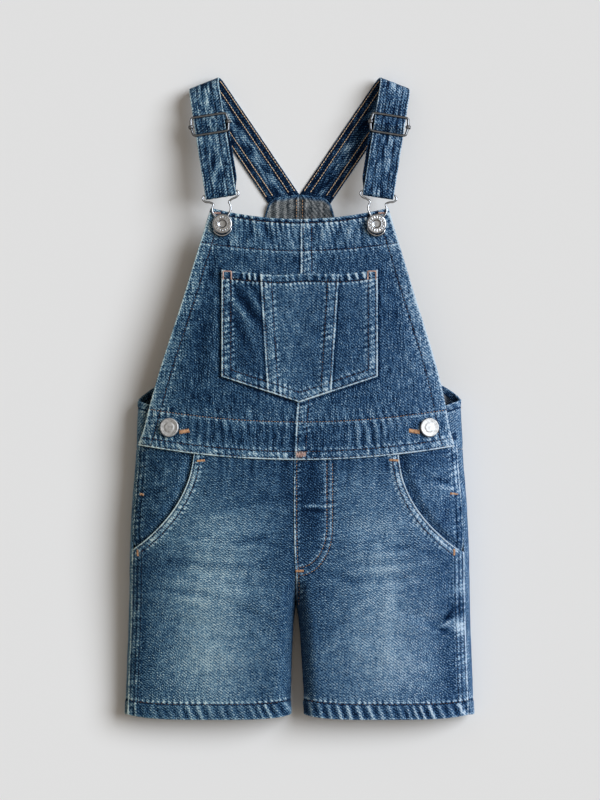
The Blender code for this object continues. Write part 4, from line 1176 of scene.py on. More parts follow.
def leg_marks(side):
    """Rule for the relief and tone of the front of a leg."""
    seed = 100 + 30 * side
    seam = side_seam_line(side, 0.0, 160.0)
    hem = hem_line(side)
    pocket = hip_line(side)
    rise = upward(lambda y: at(RISE, "x", y), 60.0, 240.0)[::-1]

    def marks(x, y):
        total = np.stack((0.0 * x, fade_and_painted_light(x, y)))
        total = total + creased(LEG_CREASES, x, y) + rumpled(x, y, seed)
        total += roped(across_along(x, y, hem), HEM_DEPTH, seed + 1, period=8.4, slant=0.4)
        below = 1 - smooth((y - HIP_LOW_Y) / 8.0)
        # Below zero, the share past the strip paints shade inward of the side seam.
        total += felled(across_along(x, y, seam), FELL_WIDTH, seed + 2, rows=SIDE_ROWS,
                        worn=0.42 + 0.04 * side, even=0.7, ladder=0.9, past_tone=-0.4) * below
        above = smooth((y - HIP_LOW_Y + 3.0) / 8.0)
        total += felled(across_along(x, y, pocket), HIP_BAND, seed + 3, rows=HIP_ROWS, worn=0.56,
                        period=4.4, raised=0.7, even=0.7) * above
        under = np.exp(-np.maximum(band_y(np.abs(x)) - y, 0) / 17.0)
        under = under * (0.6 * ripple(x, 15.0, seed + 6) + 0.5 * ripple(x, 6.6, seed + 7))
        total += np.stack((0.25 * under, 0.17 * under))
        if side > 0:
            risen = smooth((y - 98.0) / 12.0)
            total += felled(across_along(x, y, rise), RISE_SEAM, seed + 4, rows=(RISE_ROW,),
                            raised=0.5, worn=0.4) * risen
            for half_width in FLY_ROWS:
                total += stitched(across_along(x, y, fly_line(half_width)), seed + 5)
        return total
    return marks


def front_face(side, base, marks):
    """Rule from x and y to the marked face of a front piece and its normals."""
    def face(x, y):
        return on_front(side, side * x, y, base + marks(x, y)[0])
    return face


def front_leg(name, side, cell):
    """Front of a leg: the crown of the body between its edges, raised by its marks."""
    levels = spread(FRONT_TOP, cell) * FRONT_TOP
    shares = spread(138.0, cell, near=INNER_STEPS)
    u, y = front_grid(levels, shares, lambda at_y: rise_u(side, at_y),
                      lambda at_y: front_end_u(side, at_y) - 0.15)
    inner, outer = u[:, :1], u[:, -1:]
    rise = np.abs(2 * (u - inner) / (outer - inner) - 1) ** 4
    y = y + HEM_RISE * rise * (1 - smooth(y / HEM_RISE_FADE))
    lift, tone = leg_marks(side)(side * u, y)
    points, normals = on_front(side, u, y, lift)
    piece = shell(name, points, normals, tone, denim(),
                  wall=PANEL + (HEM_WALL - PANEL) * in_hem(y) + np.maximum(lift, 0) * 0.5)
    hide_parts(name)


def hip_facing(name, side, cell):
    """Pocket facing: sinks under the curved edge and comes up to the side seam."""
    height = FRONT_TOP - FACING_LOW_Y
    levels = FACING_LOW_Y + spread(height, cell) * height
    shares = spread(60.0, cell)

    def inner_u(y):
        return np.minimum(hip_pocket_u(side, y), side_seam_u(side, y)) - FACING_UNDERLAP
    u, y = front_grid(levels, shares, inner_u, lambda at_y: side_seam_u(side, at_y) - 0.5)
    edge = hip_pocket_u(side, y)
    sunk = -2.9 * (1 - smooth((u - edge - 1.5) / 9.0))
    x = side * u
    seed = 300 + 30 * side
    total = np.stack((sunk, fade_and_painted_light(x, y) - 0.05)) + rumpled(x, y, seed, size=8.0, height=0.4)
    total += creased(FACING_CREASES, x, y)
    shadow = -0.13 * (1 - smooth((u - edge - 0.5) / 5.0))
    seam = side_seam_line(side, 120.0, 240.0)
    above = smooth((y - SLIT_Y + 1.0) / 4.0)
    total += felled(across_along(x, y, seam), FACING_SEAM, seed + 1, rows=FACING_ROWS, raised=0.3,
                    worn=0.34 + (0.14 + 0.1 * side) * above, even=0.3 + 0.4 * above)
    lift, tone = total
    points, normals = on_front(side, u, y, lift)
    piece = shell(name, points, normals, tone + shadow, denim("Pocket denim", streaks=0.6))
    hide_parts(name)


# -------- back

BACK_CORNER = (0.0, 0.02, 0.12, 0.4, 0.85, 1.4, 2.4, 3.8)
BACK_LEG_SPOT = (0.7, 0.2)    # shares of the grid's rows and columns where it faces the ground
BACK_BIB_SPOT = (0.3, 0.2)
UNDERLAP_DROP = 4.4       # how deep the back passes under the front at the side slit
NECK_RISE_AT = 438.0      # from here up the back lies over the ends of the straps
NECK_RISE = 2.6


def back_shares(half_ground, cell):
    """Shares along the back's section, from the middle to the end over the side."""
    ground = spread(half_ground, cell * 1.6, near=BACK_CORNER, far=(0.0, 1.0))
    roll = 1 + np.arange(1, 19) / 18
    over = 2 + spread(26.0, cell, near=(0.0, 1.0))[1:]
    shares = np.concatenate((ground, roll, over))
    return shares if len(shares) % 2 else np.delete(shares, len(ground))


def back_rows(side, share, y, end_u):
    """Points of the back's section whose last part ends at end_u."""
    half = at(BODY, "half_width", y)
    reach = np.sqrt(np.clip((half - end_u) / half, 0, 1))
    return back_section(side, np.where(share > 2, 2 + (share - 2) * reach, share), y)


def back_tone(share):
    """Tone of the back, lighter where it has come round the side."""
    return 0.40 + 0.13 * smooth(share - 1.0)


def off_ground(points):
    """0 where the cloth lies on the ground, 1 from 3 mm above it."""
    return smooth((points[..., 2] - 0.5) / 2.5)


def back_leg(name, side, cell):
    """Back of a leg: flat on the ground, round the side, and under the front at the slit."""
    y = (spread(WAIST_Y, cell * 1.6) * WAIST_Y)[:, None]
    share = back_shares(130.0, cell)[None]
    end_u = side_seam_u(side, y) - 15.0 * smooth((y - SLIT_Y - 10.0) / 12.0)
    mid = back_rows(side, share, y, end_u + 0.15)
    away = grid_normals(mid, (0, 0, -1), where=BACK_LEG_SPOT)
    deep = UNDERLAP_DROP * smooth((y - SLIT_Y) / 13.0) * smooth((share - 2.25) / 0.45)
    points = mid - deep[..., None] * away
    x = side * share * 60.0
    seed = 500 + 30 * side
    total = np.stack((0.0 * x * y, back_tone(share) + 0.0 * y))
    total += rumpled(x, y, seed) + roped((y + 0.0 * x, x + 0.0 * y), HEM_DEPTH, seed + 1)
    lift, tone = total
    lift = lift * off_ground(points)
    tone = tone + 0.05 * clouds(x, y, 30.0, seed + 4) + 0.10 * clouds(x, y, 9.0, seed + 5)
    points[..., 1] += HEM_RISE * (1 - smooth(y / HEM_RISE_FADE))
    points = points + lift[..., None] * away
    piece = shell(name, points, away, tone, denim(),
                  wall=PANEL + (HEM_WALL - PANEL) * in_hem(y) + 0.0 * share,
                  where=BACK_LEG_SPOT)
    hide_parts(name)


def back_bib(name, side, cell):
    """Back above the waist: its upper edge runs from the straps down to the side and its tab."""
    shares = spread(ARMHOLE["around"][-1], cell * 1.15)
    steps = spread(222.0, cell * 1.3)[:, None]
    low = WAIST_Y + 0.3
    height = at(ARMHOLE, "y", ARMHOLE["around"][-1] * shares, key="around") - low
    y = low + steps * height
    half = at(BODY, "half_width", y)
    side_z = at(BODY, "side_z", y)
    start = twist(y) * side + 0.15
    end_u = TAB_END_U + side * twist(y)
    ground = half - SIDE_ROLL - start
    roll = 0.5 * math.pi * np.sqrt((SIDE_ROLL ** 2 + side_z ** 2) / 2)
    over = (half - end_u) * 1.06
    along = shares * (ground + roll + over)
    share = np.where(along < ground, along / ground,
                     np.where(along < ground + roll, 1 + (along - ground) / roll,
                              2 + np.sqrt(np.clip((along - ground - roll) / over, 0, 1))))
    mid = back_rows(side, share, y, end_u)
    away = grid_normals(mid, (0, 0, -1), where=BACK_BIB_SPOT)
    deep = UNDERLAP_DROP * smooth((share - 2.15) / 0.4)
    points = mid - deep[..., None] * away
    arm = (1 - steps) * height
    x = side * along
    points[..., 2] += NECK_RISE * smooth((y - NECK_RISE_AT) / 10.0)
    turned = 2.8 + 3.9 * smooth((along - 24.0) / 8.0)
    seed = 700 + 30 * side
    total = np.stack((0.0 * y, back_tone(share)))
    total += rumpled(x, y, seed, size=9.0, height=0.3)
    hem = roped((arm + 0.0 * y, along), turned, seed + 2, period=6.0, raised=0.2, worn=0.3)
    free = off_ground(points)
    hem[0] *= free
    lift, tone = total + hem
    points = points + (lift * free)[..., None] * away
    bare = smooth((arm - turned) / 0.8) * (1 - smooth((share - 1.2) / 0.3))
    stripes = 0.3 * ripple(along, 6.2, seed + 6) - 0.4 * bell((along - 3.9) / 0.8)
    inner_tone = np.where(bare > 0.5, 0.50 + 1.5 * stripes, 0.33 + 0.6 * hem[1])
    inner_tone += 0.09 * clouds(x, y, 5.0, seed + 3) + 0.22 * clouds(x, 0.4 * y, 1.6, seed + 4)
    piece = shell(name, points, away, tone, denim(), bare=bare, under=inner_tone,
                  wall=PANEL + 0.5 * (1 - smooth((arm - turned) / 1.0)), where=BACK_BIB_SPOT)
    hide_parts(name)


# -------- bib and its pocket

BIB_HEM = 11.5            # turned side edges of the bib
BIB_HEM_ROW = 10.2
BIB_TOP_ROW = 3.8
BAND_LAP = 8.8            # what the waistband's lapped lower edge raises
BAND_ROWS = (1.5, 7.4)
CENTRE_SEAM = 10.4
CENTRE_ROWS = (1.7, 9.4)
POCKET_HEM = 9.4          # turned sides and lower edge of the bib pocket
POCKET_ROWS = (1.7, 8.2)
POCKET_SEAM = 10.2
POCKET_SEAM_ROWS = (1.6, 9.2)
POCKET_MOUTH = 7.2


def bib_marks():
    """Rule for the relief and tone of the bib and waistband."""
    low = across_bib(band_y)
    band = across_bib(band_top_y)
    facing = across_bib(facing_y)
    top = across_bib(bib_top_y, backwards=True)
    edges = (bib_edge_line(1), bib_edge_line(-1))
    centre = through(*CENTRE_EDGE)
    pocket = pocket_outline()

    def marks(x, y):
        total = np.stack((0.0 * x, fade_and_painted_light(x, y)))
        total = total + creased(BIB_CREASES, x, y) + rumpled(x, y, 900)
        for k, edge in enumerate(edges):
            total += felled(across_along(x, y, edge), BIB_HEM, 910 + k, rows=(BIB_HEM_ROW,),
                            raised=0.4, period=4.2, ladder=0.7)
        total += roped(across_along(x, y, top), BIB_TOP_ROW, 920, period=7.4, slant=0.3, worn=0.56,
                       fringe=11.0)
        total += stitched(across_along(x, y, facing), 930, reach=4.0, worn=0.26)
        total += stitched(across_along(x, y, band), 940, period=6.5, reach=5.0)
        total += felled(across_along(x, y, low), BAND_LAP, 950, rows=BAND_ROWS, worn=0.6,
                        period=5.2, ladder=0.8)
        total += felled(across_along(x, y, centre), CENTRE_SEAM, 960, rows=CENTRE_ROWS,
                        worn=0.46, raised=0.5)
        d, s = across_along(x, y, band)
        wave = ripple(s, 7.6, 970) * np.clip(wobble(s, 24.0, 971) + 0.55, 0, 1)
        folds = bell((d + 15.0) / 11.0) * wave
        d, s = across_along(x, y, pocket)
        # Painted shadow: a dark line just outside the pocket's outline; above the facing's row,
        # uneven mottling of the tone.
        pocket_shadow_and_mottle = 0.3 * bell((d + 1.3) / 1.1)
        above = smooth((y - facing_y(x)) / 3.0)
        pocket_shadow_and_mottle -= 0.13 * clouds(1.9 * x + 0.4 * y, 0.5 * y, 8.0, 980) * above
        return total + np.stack((0.5 * folds, 0.3 * folds - pocket_shadow_and_mottle))
    return marks


def bib(name, cell):
    """Bib with its waistband: one cloth over the front's crown, from side to side."""
    height = BIB_TOP_MID_Y - BAND_MID_Y
    steps = spread(height, cell)[:, None]
    shares = 2 * spread(262.0, cell) - 1
    y = BAND_MID_Y + steps * height + 0.0 * shares
    for _ in range(8):
        x = shares * at(BIB_EDGE, "u", y) + twist(y)
        y = band_y(np.abs(x)) + steps * (bib_top_y(np.abs(x)) - band_y(np.abs(x)))
    lift, tone = bib_marks()(x, y)
    points, normals = on_front(1, x, y, BIB_LIFT + lift)
    piece = shell(name, points, normals, tone, denim("Bib denim", streaks=0.9),
                  wall=PANEL + np.maximum(lift, 0))
    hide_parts("bib_left", "bib_right")


def pocket_marks():
    """Rule for the relief and tone of the bib pocket."""
    outline = pocket_outline()
    half = POCKET_HALF_WIDTH
    top = rightward(pocket_top_y, -half, half)[::-1]
    seams = [pocket_seam_line(sign) for sign in (-1, 1)]

    def marks(x, y):
        across = 0.285 + 0.08 * bell(x / 26.0) - 0.07 * smooth((-x - 24.0) / 16.0)
        across += 0.06 * smooth((x - 34.0) / 14.0) - 0.07 * bell((x - 23.0) / 7.0)
        faded = 0.09 * bell((x + 5.0) / 17.0) * bell((y - 348.0) / 34.0)
        total = np.stack((0.0 * x, across + faded))
        total = total + creased(POCKET_CREASES, x, y) + rumpled(x, y, 1100, size=10.0, height=0.35)
        for k, line in enumerate(seams):
            total += felled(across_along(x, y, line), POCKET_SEAM, 1110 + k, rows=POCKET_SEAM_ROWS,
                            worn=0.5, period=5.0, raised=0.6, even=0.5, ladder=0.8)
        total += roped(across_along(x, y, top), POCKET_MOUTH, 1120, period=6.6, slant=0.2,
                       worn=0.56)
        total += felled(across_along(x, y, outline), POCKET_HEM, 1130, rows=POCKET_ROWS, worn=0.54,
                        period=5.0, raised=0.6, ladder=1.05)
        return total
    return marks


def pocket_mouth(x, y):
    """How far the pocket's mouth stands open."""
    return 0.8 * smooth((y - pocket_top_y(x) + 11.0) / 11.0)


def bib_pocket(name, cell):
    """Patch pocket: straight sides, a pointed lower edge and a slightly wavy mouth."""
    steps = spread(105.0, cell)[:, None]
    x = (2 * spread(2 * POCKET_HALF_WIDTH, cell) - 1) * POCKET_HALF_WIDTH + 0.0 * steps
    low = pocket_low_y(x)
    y = low + steps * (pocket_top_y(x) - low)
    lift, tone = pocket_marks()(x, y)
    points, normals = on_front(1, x, y, POCKET_LIFT + pocket_mouth(x, y) + lift)
    piece = shell(name, points, normals, tone, denim("Pocket denim", streaks=0.6),
                  wall=PANEL + np.maximum(lift, 0))
    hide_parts("bib_pocket_left", "bib_pocket_centre", "bib_pocket_right")


# -------- straps

FOLD_ALONG = np.array((-math.cos(FOLD_TILT), math.sin(FOLD_TILT)))
FOLD_DOWN = np.array((-math.sin(FOLD_TILT), -math.cos(FOLD_TILT)))
FOLD_TOP_Z = 2 * FOLD_RADIUS + STRAP_WALL / 2
FOLD_BEND = FOLD_RADIUS * math.pi / 2
STRAP_TUCK = 9.0          # how far its sewn end runs on under the edge of the back
STRAP_SPOT = (0.62, 0.5)  # shares of the grid's rows and columns where it faces up
STRAP_ROWS = (1.7, 6.9)   # rows of stitches, in from each side of a strap


def strap_plan(along, across):
    """Plan place of strap points, and their distance b from the fold square to the fold.

    The strap is a straight strip wrapped over a round fold whose axis crosses it at a slant.
    """
    a = -along * math.sin(FOLD_SLANT) + across * math.cos(FOLD_SLANT)
    b = along * math.cos(FOLD_SLANT) + across * math.sin(FOLD_SLANT)
    bent = FOLD_RADIUS * (1 - np.cos(np.clip(b / FOLD_RADIUS, -math.pi / 2, math.pi / 2)))
    down = bent + np.maximum(np.abs(b) - FOLD_BEND, 0)
    place = np.array((FOLD_U, FOLD_Y)) + a[..., None] * FOLD_ALONG + down[..., None] * FOLD_DOWN
    return place, b


def lifted(place, z):
    """Points from their places in plan and their heights."""
    return np.concatenate((place, z[..., None]), axis=-1)


def strap_line_z(along):
    """Straight climb of the front strap from the fold to the hook's bar."""
    share = np.maximum(0.0, (along - FOLD_BEND) / (HOOK_AT - FOLD_BEND))
    return FOLD_TOP_Z + share * (HOOK_BAR_Z + BAR_CLEAR - FOLD_TOP_Z)


def slider_wave(along):
    """The strap dips under the slider's outer bars and rises over its middle bar."""
    d = np.abs(along - SLIDER_AT)
    over = BAR_CLEAR * np.cos(math.pi * d / SLIDER_HALF_HEIGHT)
    beyond = -BAR_CLEAR * (1 - smooth((d - SLIDER_HALF_HEIGHT) / WAVE_FADE))
    return np.where(d < SLIDER_HALF_HEIGHT, over, beyond)


def strap_out(along, across):
    """Middle surface of the strap from its sewn end over the fold to the hook."""
    to_end = (-along - STRAP_SKEW_AT) / (-STRAP_END_AT - STRAP_SKEW_AT)
    place, b = strap_plan(along + across * STRAP_END_SKEW * smooth(to_end), across)
    turn = np.clip(b / FOLD_RADIUS, -math.pi / 2, math.pi / 2)
    z = STRAP_WALL / 2 + FOLD_RADIUS * (1 + np.sin(turn))
    z = np.where(b > FOLD_BEND, strap_line_z(along) + slider_wave(along), z)
    return lifted(place, z)


def strap_turn(angle, across):
    """Middle surface of the strap round the hook's bar."""
    place, _ = strap_plan(HOOK_AT + BAR_CLEAR * np.sin(angle), across)
    z = strap_line_z(HOOK_AT) - BAR_CLEAR + BAR_CLEAR * np.cos(angle)
    return lifted(place, z + 0.0 * across)


def strap_back(along, across):
    """Middle surface of the end that comes back from the hook to the slider's middle bar.

    It lies a little to the inner side of the layer above it.
    """
    place, _ = strap_plan(along, across + 2.8 * smooth((HOOK_AT - along) / 14.0))
    to_hook = smooth((along - HOOK_AT + RETURN_TURN) / RETURN_TURN)
    below = RETURN_DROP + (2 * BAR_CLEAR - RETURN_DROP) * to_hook
    d = along - SLIDER_AT
    below = below + BAR_CLEAR * smooth((RETURN_DIP_AT - d) / WAVE_FADE)
    below = below - RETURN_DROP * smooth((SLIDER_HALF_HEIGHT - d) / SLIDER_HALF_HEIGHT)
    return lifted(place, strap_line_z(along) - below)


def strap_marks(side, along, across, inner=False):
    """Relief and tone of a strap: turned edges, rows of stitches and ropey ridges between."""
    seed = 1300 + 40 * side + 400 * inner
    half = STRAP_WIDTH / 2
    # The inner face is darker than the outer: partly less worn, partly painted shade.
    base = 0.22 if inner else 0.40
    base = base + 0.09 * bell(along / 26.0) + 0.05 * wobble(along, 9.0, seed)
    total = np.stack((0.0 * along, base))
    for k, edge in enumerate((half - across, half + across)):
        groove = sum(bell((edge - row) / 0.7) for row in STRAP_ROWS)
        knots = 0.75 + 0.35 * ripple(along, 2.8, seed + k)
        rim = bell((edge - 0.35) / 0.6)
        strip = smooth(edge / 1.2) * (1 - smooth((edge - 7.6) / 1.4 + 0.5))
        ladder = strip * ripple(along + 0.5 * edge, 4.6, seed + 20 + k)
        lift = 0.2 * rim - 0.3 * groove + 0.12 * ladder
        # Painted shade: the rows of stitches are darkened in their grooves.
        tone = (0.08 if inner else 0.50) * rim - 0.36 * groove * knots + 0.11 * ladder
        total += np.stack((lift, tone - 0.17 * inner * strip))
    patches = clouds(2.1 * across + 0.25 * along, along * 0.62, 7.0, seed + 3)
    middle = bell(across / 6.6)
    if inner:
        total += np.stack((0.25 * middle * patches, 0.60 * middle * np.maximum(patches, -0.2)))
        return total
    for k, place in enumerate((-4.0, 0.2, 4.0)):
        sway = place + 1.2 * wobble(along, 12.0, seed + 5 + k)
        ridge = bell((across - sway) / 1.0) * (0.25 + 0.75 * wobble(along, 8.0, seed + 11 + k))
        total += np.stack((0.34 * ridge, 0.46 * ridge))
    total += np.stack((0.2 * middle * patches, 0.46 * middle * np.minimum(patches - 0.1, 0.3)))
    return total


def strap(name, side, cell):
    """Shoulder strap: one double strip of denim from the back bib to the hook and back."""
    across = (spread(STRAP_WIDTH, cell) - 0.5) * STRAP_WIDTH
    low = STRAP_END_AT - STRAP_TUCK
    out = np.linspace(low, HOOK_AT, int((HOOK_AT - low) / cell) + 1)
    angle = np.linspace(0, math.pi, 14)[1:-1]
    back = np.linspace(HOOK_AT, RETURN_END, int((HOOK_AT - RETURN_END) / (1.5 * cell)) + 1)
    if (len(out) + len(angle) + len(back)) % 2 == 0:
        out = np.linspace(low, HOOK_AT, len(out) + 1)
    parts = ((strap_out, out), (strap_turn, angle), (strap_back, back))
    mid = np.concatenate([part(*np.meshgrid(places, across, indexing="ij"))
                          for part, places in parts])
    mid[..., 0] *= side
    gone = walk(mid[:, len(across) // 2][:, None], 0)[:, 0]
    gone = gone - gone[len(out) - 1] + HOOK_AT
    along, w = np.meshgrid(gone, across, indexing="ij")
    normals = grid_normals(mid, (0, 0, 1), STRAP_SPOT)
    lift, tone = strap_marks(side, along, w)
    under_lift, under = strap_marks(side, along, w, inner=True)
    points = mid + (STRAP_WALL / 2 + lift * 0.8)[..., None] * normals
    sunk = np.maximum(-points[..., 2], 0.0)      # the underside stays on the ground
    points[..., 2] += sunk
    piece = shell(name, points, normals, tone, denim("Strap denim", grain=1.1, streaks=1.5),
                  wall=STRAP_WALL + 0.8 * lift + 0.5 * under_lift - sunk, bare=0.0 * lift,
                  uv=np.stack((w + 40.0 * side, along), -1), under=under - 0.03,
                  where=STRAP_SPOT)
    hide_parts(name)


# -------- metal

BUTTON_SPOKES = 96
# Each button from the top down: radius and height above the cloth.
BIB_BUTTON_PROFILE = table(
    "radius height",
    (0, 5.3), (1.6, 5.3), (2.6, 5.35), (3.1, 5.5), (3.4, 6), (3.9, 6.35), (4.4, 6.3), (5.4, 6.15),
    (6.4, 6.15), (7.3, 6.3), (7.9, 6.25), (8.4, 5.9), (8.75, 5.3), (8.8, 4.7), (8.4, 4.1),
    (7.4, 3.9), (3.6, 3.8), (3.2, 3), (3.2, 1.2), (4.4, 0.5), (4.2, 0.1), (0, 0.1),
)
WAIST_BUTTON_PROFILE = table(
    "radius height",
    (0, 3.75), (2.2, 3.72), (3.9, 3.65), (4.5, 3.45), (5.1, 3.42), (5.7, 3.55), (6.6, 3.6),
    (7.2, 3.75), (7.7, 3.75), (8.15, 3.4), (8.35, 2.9), (8.4, 2.4), (8, 1.9), (7, 1.7), (3.4, 1.6),
    (3.2, 0.6), (0, 0.6),
)
DOTS = 16                 # plain dots round the rim of a bib button
DOT_RADIUS = 5.9          # of the circle that they stand on
DOT_HEIGHT = 0.35
DOT_SPREAD = 0.62


def lathe(profile, place, axis, spokes, dots=0):
    """Profile turned round an axis: points and faces, with one point at each pole.

    Dots are small bells of extra height at even angles along a circle.
    """
    axis = unit(np.asarray(axis, dtype=float))
    first = unit(np.cross(axis, (0.0, 1.0, 0.0)))
    second = np.cross(axis, first)
    line = resampled(np.column_stack((profile["radius"], profile["height"])), 0.42)
    line[[0, -1], 0] = 0.0
    angle = np.arange(spokes) / spokes * 2 * math.pi
    radius = np.maximum(line[1:-1, 0], 0.05)[:, None]
    height = line[1:-1, 1][:, None] + 0.0 * angle
    if dots:
        turn = angle * dots / (2 * math.pi)
        arc = (turn - np.round(turn)) * 2 * math.pi * DOT_RADIUS / dots
        bells = bell(arc / DOT_SPREAD) * bell((radius - DOT_RADIUS) / DOT_SPREAD)
        height = height + DOT_HEIGHT * bells * (height > 0.8 * line[:, 1].max())
    ring = (np.cos(angle)[:, None] * first + np.sin(angle)[:, None] * second)[None]
    body = place + radius[..., None] * ring + height[..., None] * axis
    poles = place + line[[0, -1], 1][:, None] * axis
    index = np.arange(height.size).reshape(height.shape)
    top = np.stack((index[0], np.roll(index[0], -1), np.full(spokes, height.size)), -1)
    low = np.stack((np.roll(index[-1], -1), index[-1], np.full(spokes, height.size + 1)), -1)
    points = np.concatenate((body.reshape(-1, 3), poles))
    return points, ring_faces(index).tolist() + top.tolist() + low.tolist()


def round_path(points, spacing):
    """Closed smooth path through points, at about even steps."""
    wrapped = np.concatenate((points[-3:], points, points[:4]))
    length = distances(wrapped)
    start, end = length[3], length[3 + len(points)]
    places = np.linspace(start, end, int((end - start) / spacing) + 1)[:-1]
    rows = dict(zip("sxyz", np.column_stack((length, wrapped)).T))
    return np.column_stack([at(rows, name, places, key="s") for name in "xyz"])


def on_strap(side, along, across):
    """Points on the front strap's straight line, so far along it and across it."""
    along, across = np.broadcast_arrays(np.asarray(along, float), np.asarray(across, float))
    place, _ = strap_plan(along, across)
    return np.stack((side * place[..., 0], place[..., 1], strap_line_z(along)), axis=-1)


def slider(name, side):
    """Wire slider: a rounded frame round the strap and a middle bar with knobbed ends."""
    square = 11.0         # power that makes the frame's superellipse nearly a rectangle
    angle = np.linspace(0, 2 * math.pi, 121)[:-1]
    co, si = np.cos(angle), np.sin(angle)
    away = (np.abs(co) ** square + np.abs(si) ** square) ** (-1 / square)
    across = SLIDER_HALF_WIDTH * co * away + SLIDER_BULGE * np.sign(co) * bell(si * away / 0.5)
    along = SLIDER_AT + SLIDER_HALF_HEIGHT * si * away
    frame_part = tube(on_strap(side, along, across), SLIDER_WIRE / 2, 12)
    bulge = SLIDER_HALF_WIDTH + SLIDER_BULGE
    tip = bulge + KNOB_OUT
    reach = bulge - KNOB_OUT
    half = ((0.0, tip), (1.2, tip), (1.7, tip - 0.4), (KNOB_RADIUS, tip - 1.0),
            (KNOB_RADIUS, reach + 0.9), (1.5, reach + 0.3), (0.9, reach))
    profile = half + tuple((radius, -height) for radius, height in reversed(half))
    middle = on_strap(side, SLIDER_AT, 0.0)
    axis = on_strap(side, SLIDER_AT, 5.0) - middle
    bar = lathe(table("radius height", *profile), middle, axis, 24)
    piece = joined(name, (frame_part, bar), metal("Dark nickel"))
    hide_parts(name)


def hook(name, side):
    """Wire hook: the bar in the strap's end, a keyhole slot and a round seat at the button."""
    seat, _ = on_front(1, BIB_BUTTON[0], BIB_BUTTON[1], BIB_LIFT + HOOK_LIFT)
    bar_place, _ = strap_plan(np.array(HOOK_AT), np.array(0.0))
    edge_place, _ = strap_plan(np.array(HOOK_AT), np.array(5.0))
    bar = np.array((*bar_place, HOOK_BAR_Z))
    across = np.array((*((edge_place - bar_place) / 5.0), 0.0))
    reach = HOOK["along"][0]
    low = list(zip(HOOK["along"], HOOK["half_width"]))
    loop = [*low, (HOOK_TIP, 0.0), *((a, -w) for a, w in reversed(low))]
    a, w = np.array(loop + [(reach, w) for w in (-10.0, -5.0, 0.0, 5.0, 10.0)]).T
    path = seat + (bar - seat) * (a / reach)[:, None] + across * w[:, None]
    wire = tube(round_path(path * (side, 1, 1), 0.6), HOOK_WIRE / 2, 12)
    piece = joined(name, (wire,), metal("Nickel"))
    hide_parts(name)


def button(name, side, where, profile, dots, finish):
    """Tack button standing on the bib's cloth."""
    place, axis = on_front(1, where[0], where[1], BIB_LIFT)
    part = lathe(profile, place * (side, 1, 1), axis * (side, 1, 1), BUTTON_SPOKES, dots)
    piece = joined(name, (part,), metal(finish))
    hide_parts(name)


# -------- sewing

def sewer(face, pitch, radius):
    """Rule that sews a row of stitches on a face at each distance beside a line."""
    def rows(line, places, seed):
        return [sew(beside(line, distance), face, pitch, radius, seed + k)
                for k, distance in enumerate(places)]
    return rows


def tacked(face, ends, width, **more):
    """Bartacks between pairs of ends."""
    return [bartack(start, end, face, width, **more) for start, end in ends]


LEG_TACKS = {
    "left": (((78.0, 227.0), (86.0, 226.4)), ((131.0, 197.6), (138.0, 197.2)),
             ((134.4, 149.4), (134.4, 143.8))),
    "right": (((-89.0, 226.0), (-82.2, 226.6)), ((-139.0, 197.0), (-135.4, 196.6)),
              ((-140.8, 148.6), (-140.8, 143.0))),
}
STRAP_FACES_AT = -8.0     # along a strap: one face shows below this, the other above
SEWN_TOP_Y = 226.5        # where the rows of the fly pass under the waistband
BUTTONHOLES = (((94.9, 252.3), (104.0, 250.9)), ((-95.6, 252.3), (-104.0, 250.9)))


def leg_sewing(word, side, pitch, radius):
    """Side seam, hip pocket and hem of a leg; the wearer's left also has the fly and rise."""
    face = front_face(side, 0.0, leg_marks(side))
    rows = sewer(face, pitch, radius)
    hem = sewer(face, pitch, 1.25 * radius)(hem_line(side), (HEM_DEPTH - 0.4,), 31)
    tacks = []
    if side > 0:
        fly = []
        for k, half_width in enumerate(FLY_ROWS):
            line = fly_line(half_width)
            fly += rows(line[line[:, 1] < SEWN_TOP_Y], (0.0,), 20 + k)
        rise = upward(lambda y: at(RISE, "x", y) + RISE_ROW, CROTCH_Y, SEWN_TOP_Y)
        joined("fly_stitches", fly + rows(rise, (0.0,), 23), thread("Tan thread"))
        tacks += tacked(face, (((-3.3, 130.6), (3.6, 130.6)),), 2.4)
    tacks += tacked(face, LEG_TACKS[word], 2.2)
    joined("leg_tacks_" + word, tacks, thread("Orange thread"))
    side_rows = rows(side_seam_line(side, HEM_DEPTH, 149.0), SIDE_ROWS, 0)
    joined("side_stitches_" + word, side_rows, thread("Navy thread"))
    pocket = rows(hip_line(side, 150.0, 226.0), HIP_ROWS, 9)
    joined("leg_stitches_" + word, hem + pocket, thread("Rust thread"))


def bib_sewing(pitch, radius):
    """Rows of the waistband, centre seam, facing, top and side hems of the bib, and its tacks."""
    face = front_face(1, BIB_LIFT, bib_marks())
    rows = sewer(face, pitch, radius)
    joined("bib_stitches", rows(across_bib(band_top_y), (0.0,), 43), thread("Tan thread"))
    holes = tacked(face, BUTTONHOLES, 4.0, radius=0.42, pitch=0.6)
    joined("buttonholes", holes, thread("Orange thread"))
    tacks = tacked(face, (((-3.0, 231.5), (5.4, 231.5)),), 5.5, radius=0.3, pitch=0.7)
    corners = [((x - 3.0, 441.6), (x + 3.0, 441.6)) for x in (71.5, -71.5)]
    tacks += tacked(face, corners, 2.2, pitch=0.7)
    joined("bib_tacks", tacks, thread("Pink thread"))
    dark = rows(across_bib(band_y), BAND_ROWS, 40) + rows(through(*CENTRE_EDGE), CENTRE_ROWS, 44)
    dark += rows(across_bib(facing_y), (0.0,), 50)
    dark += rows(across_bib(bib_top_y, backwards=True), (BIB_TOP_ROW,), 51)
    for side in (1, -1):
        dark += rows(bib_edge_line(side), (BIB_HEM_ROW,), 52)
    joined("facing_stitches", dark, thread("Rust thread"))


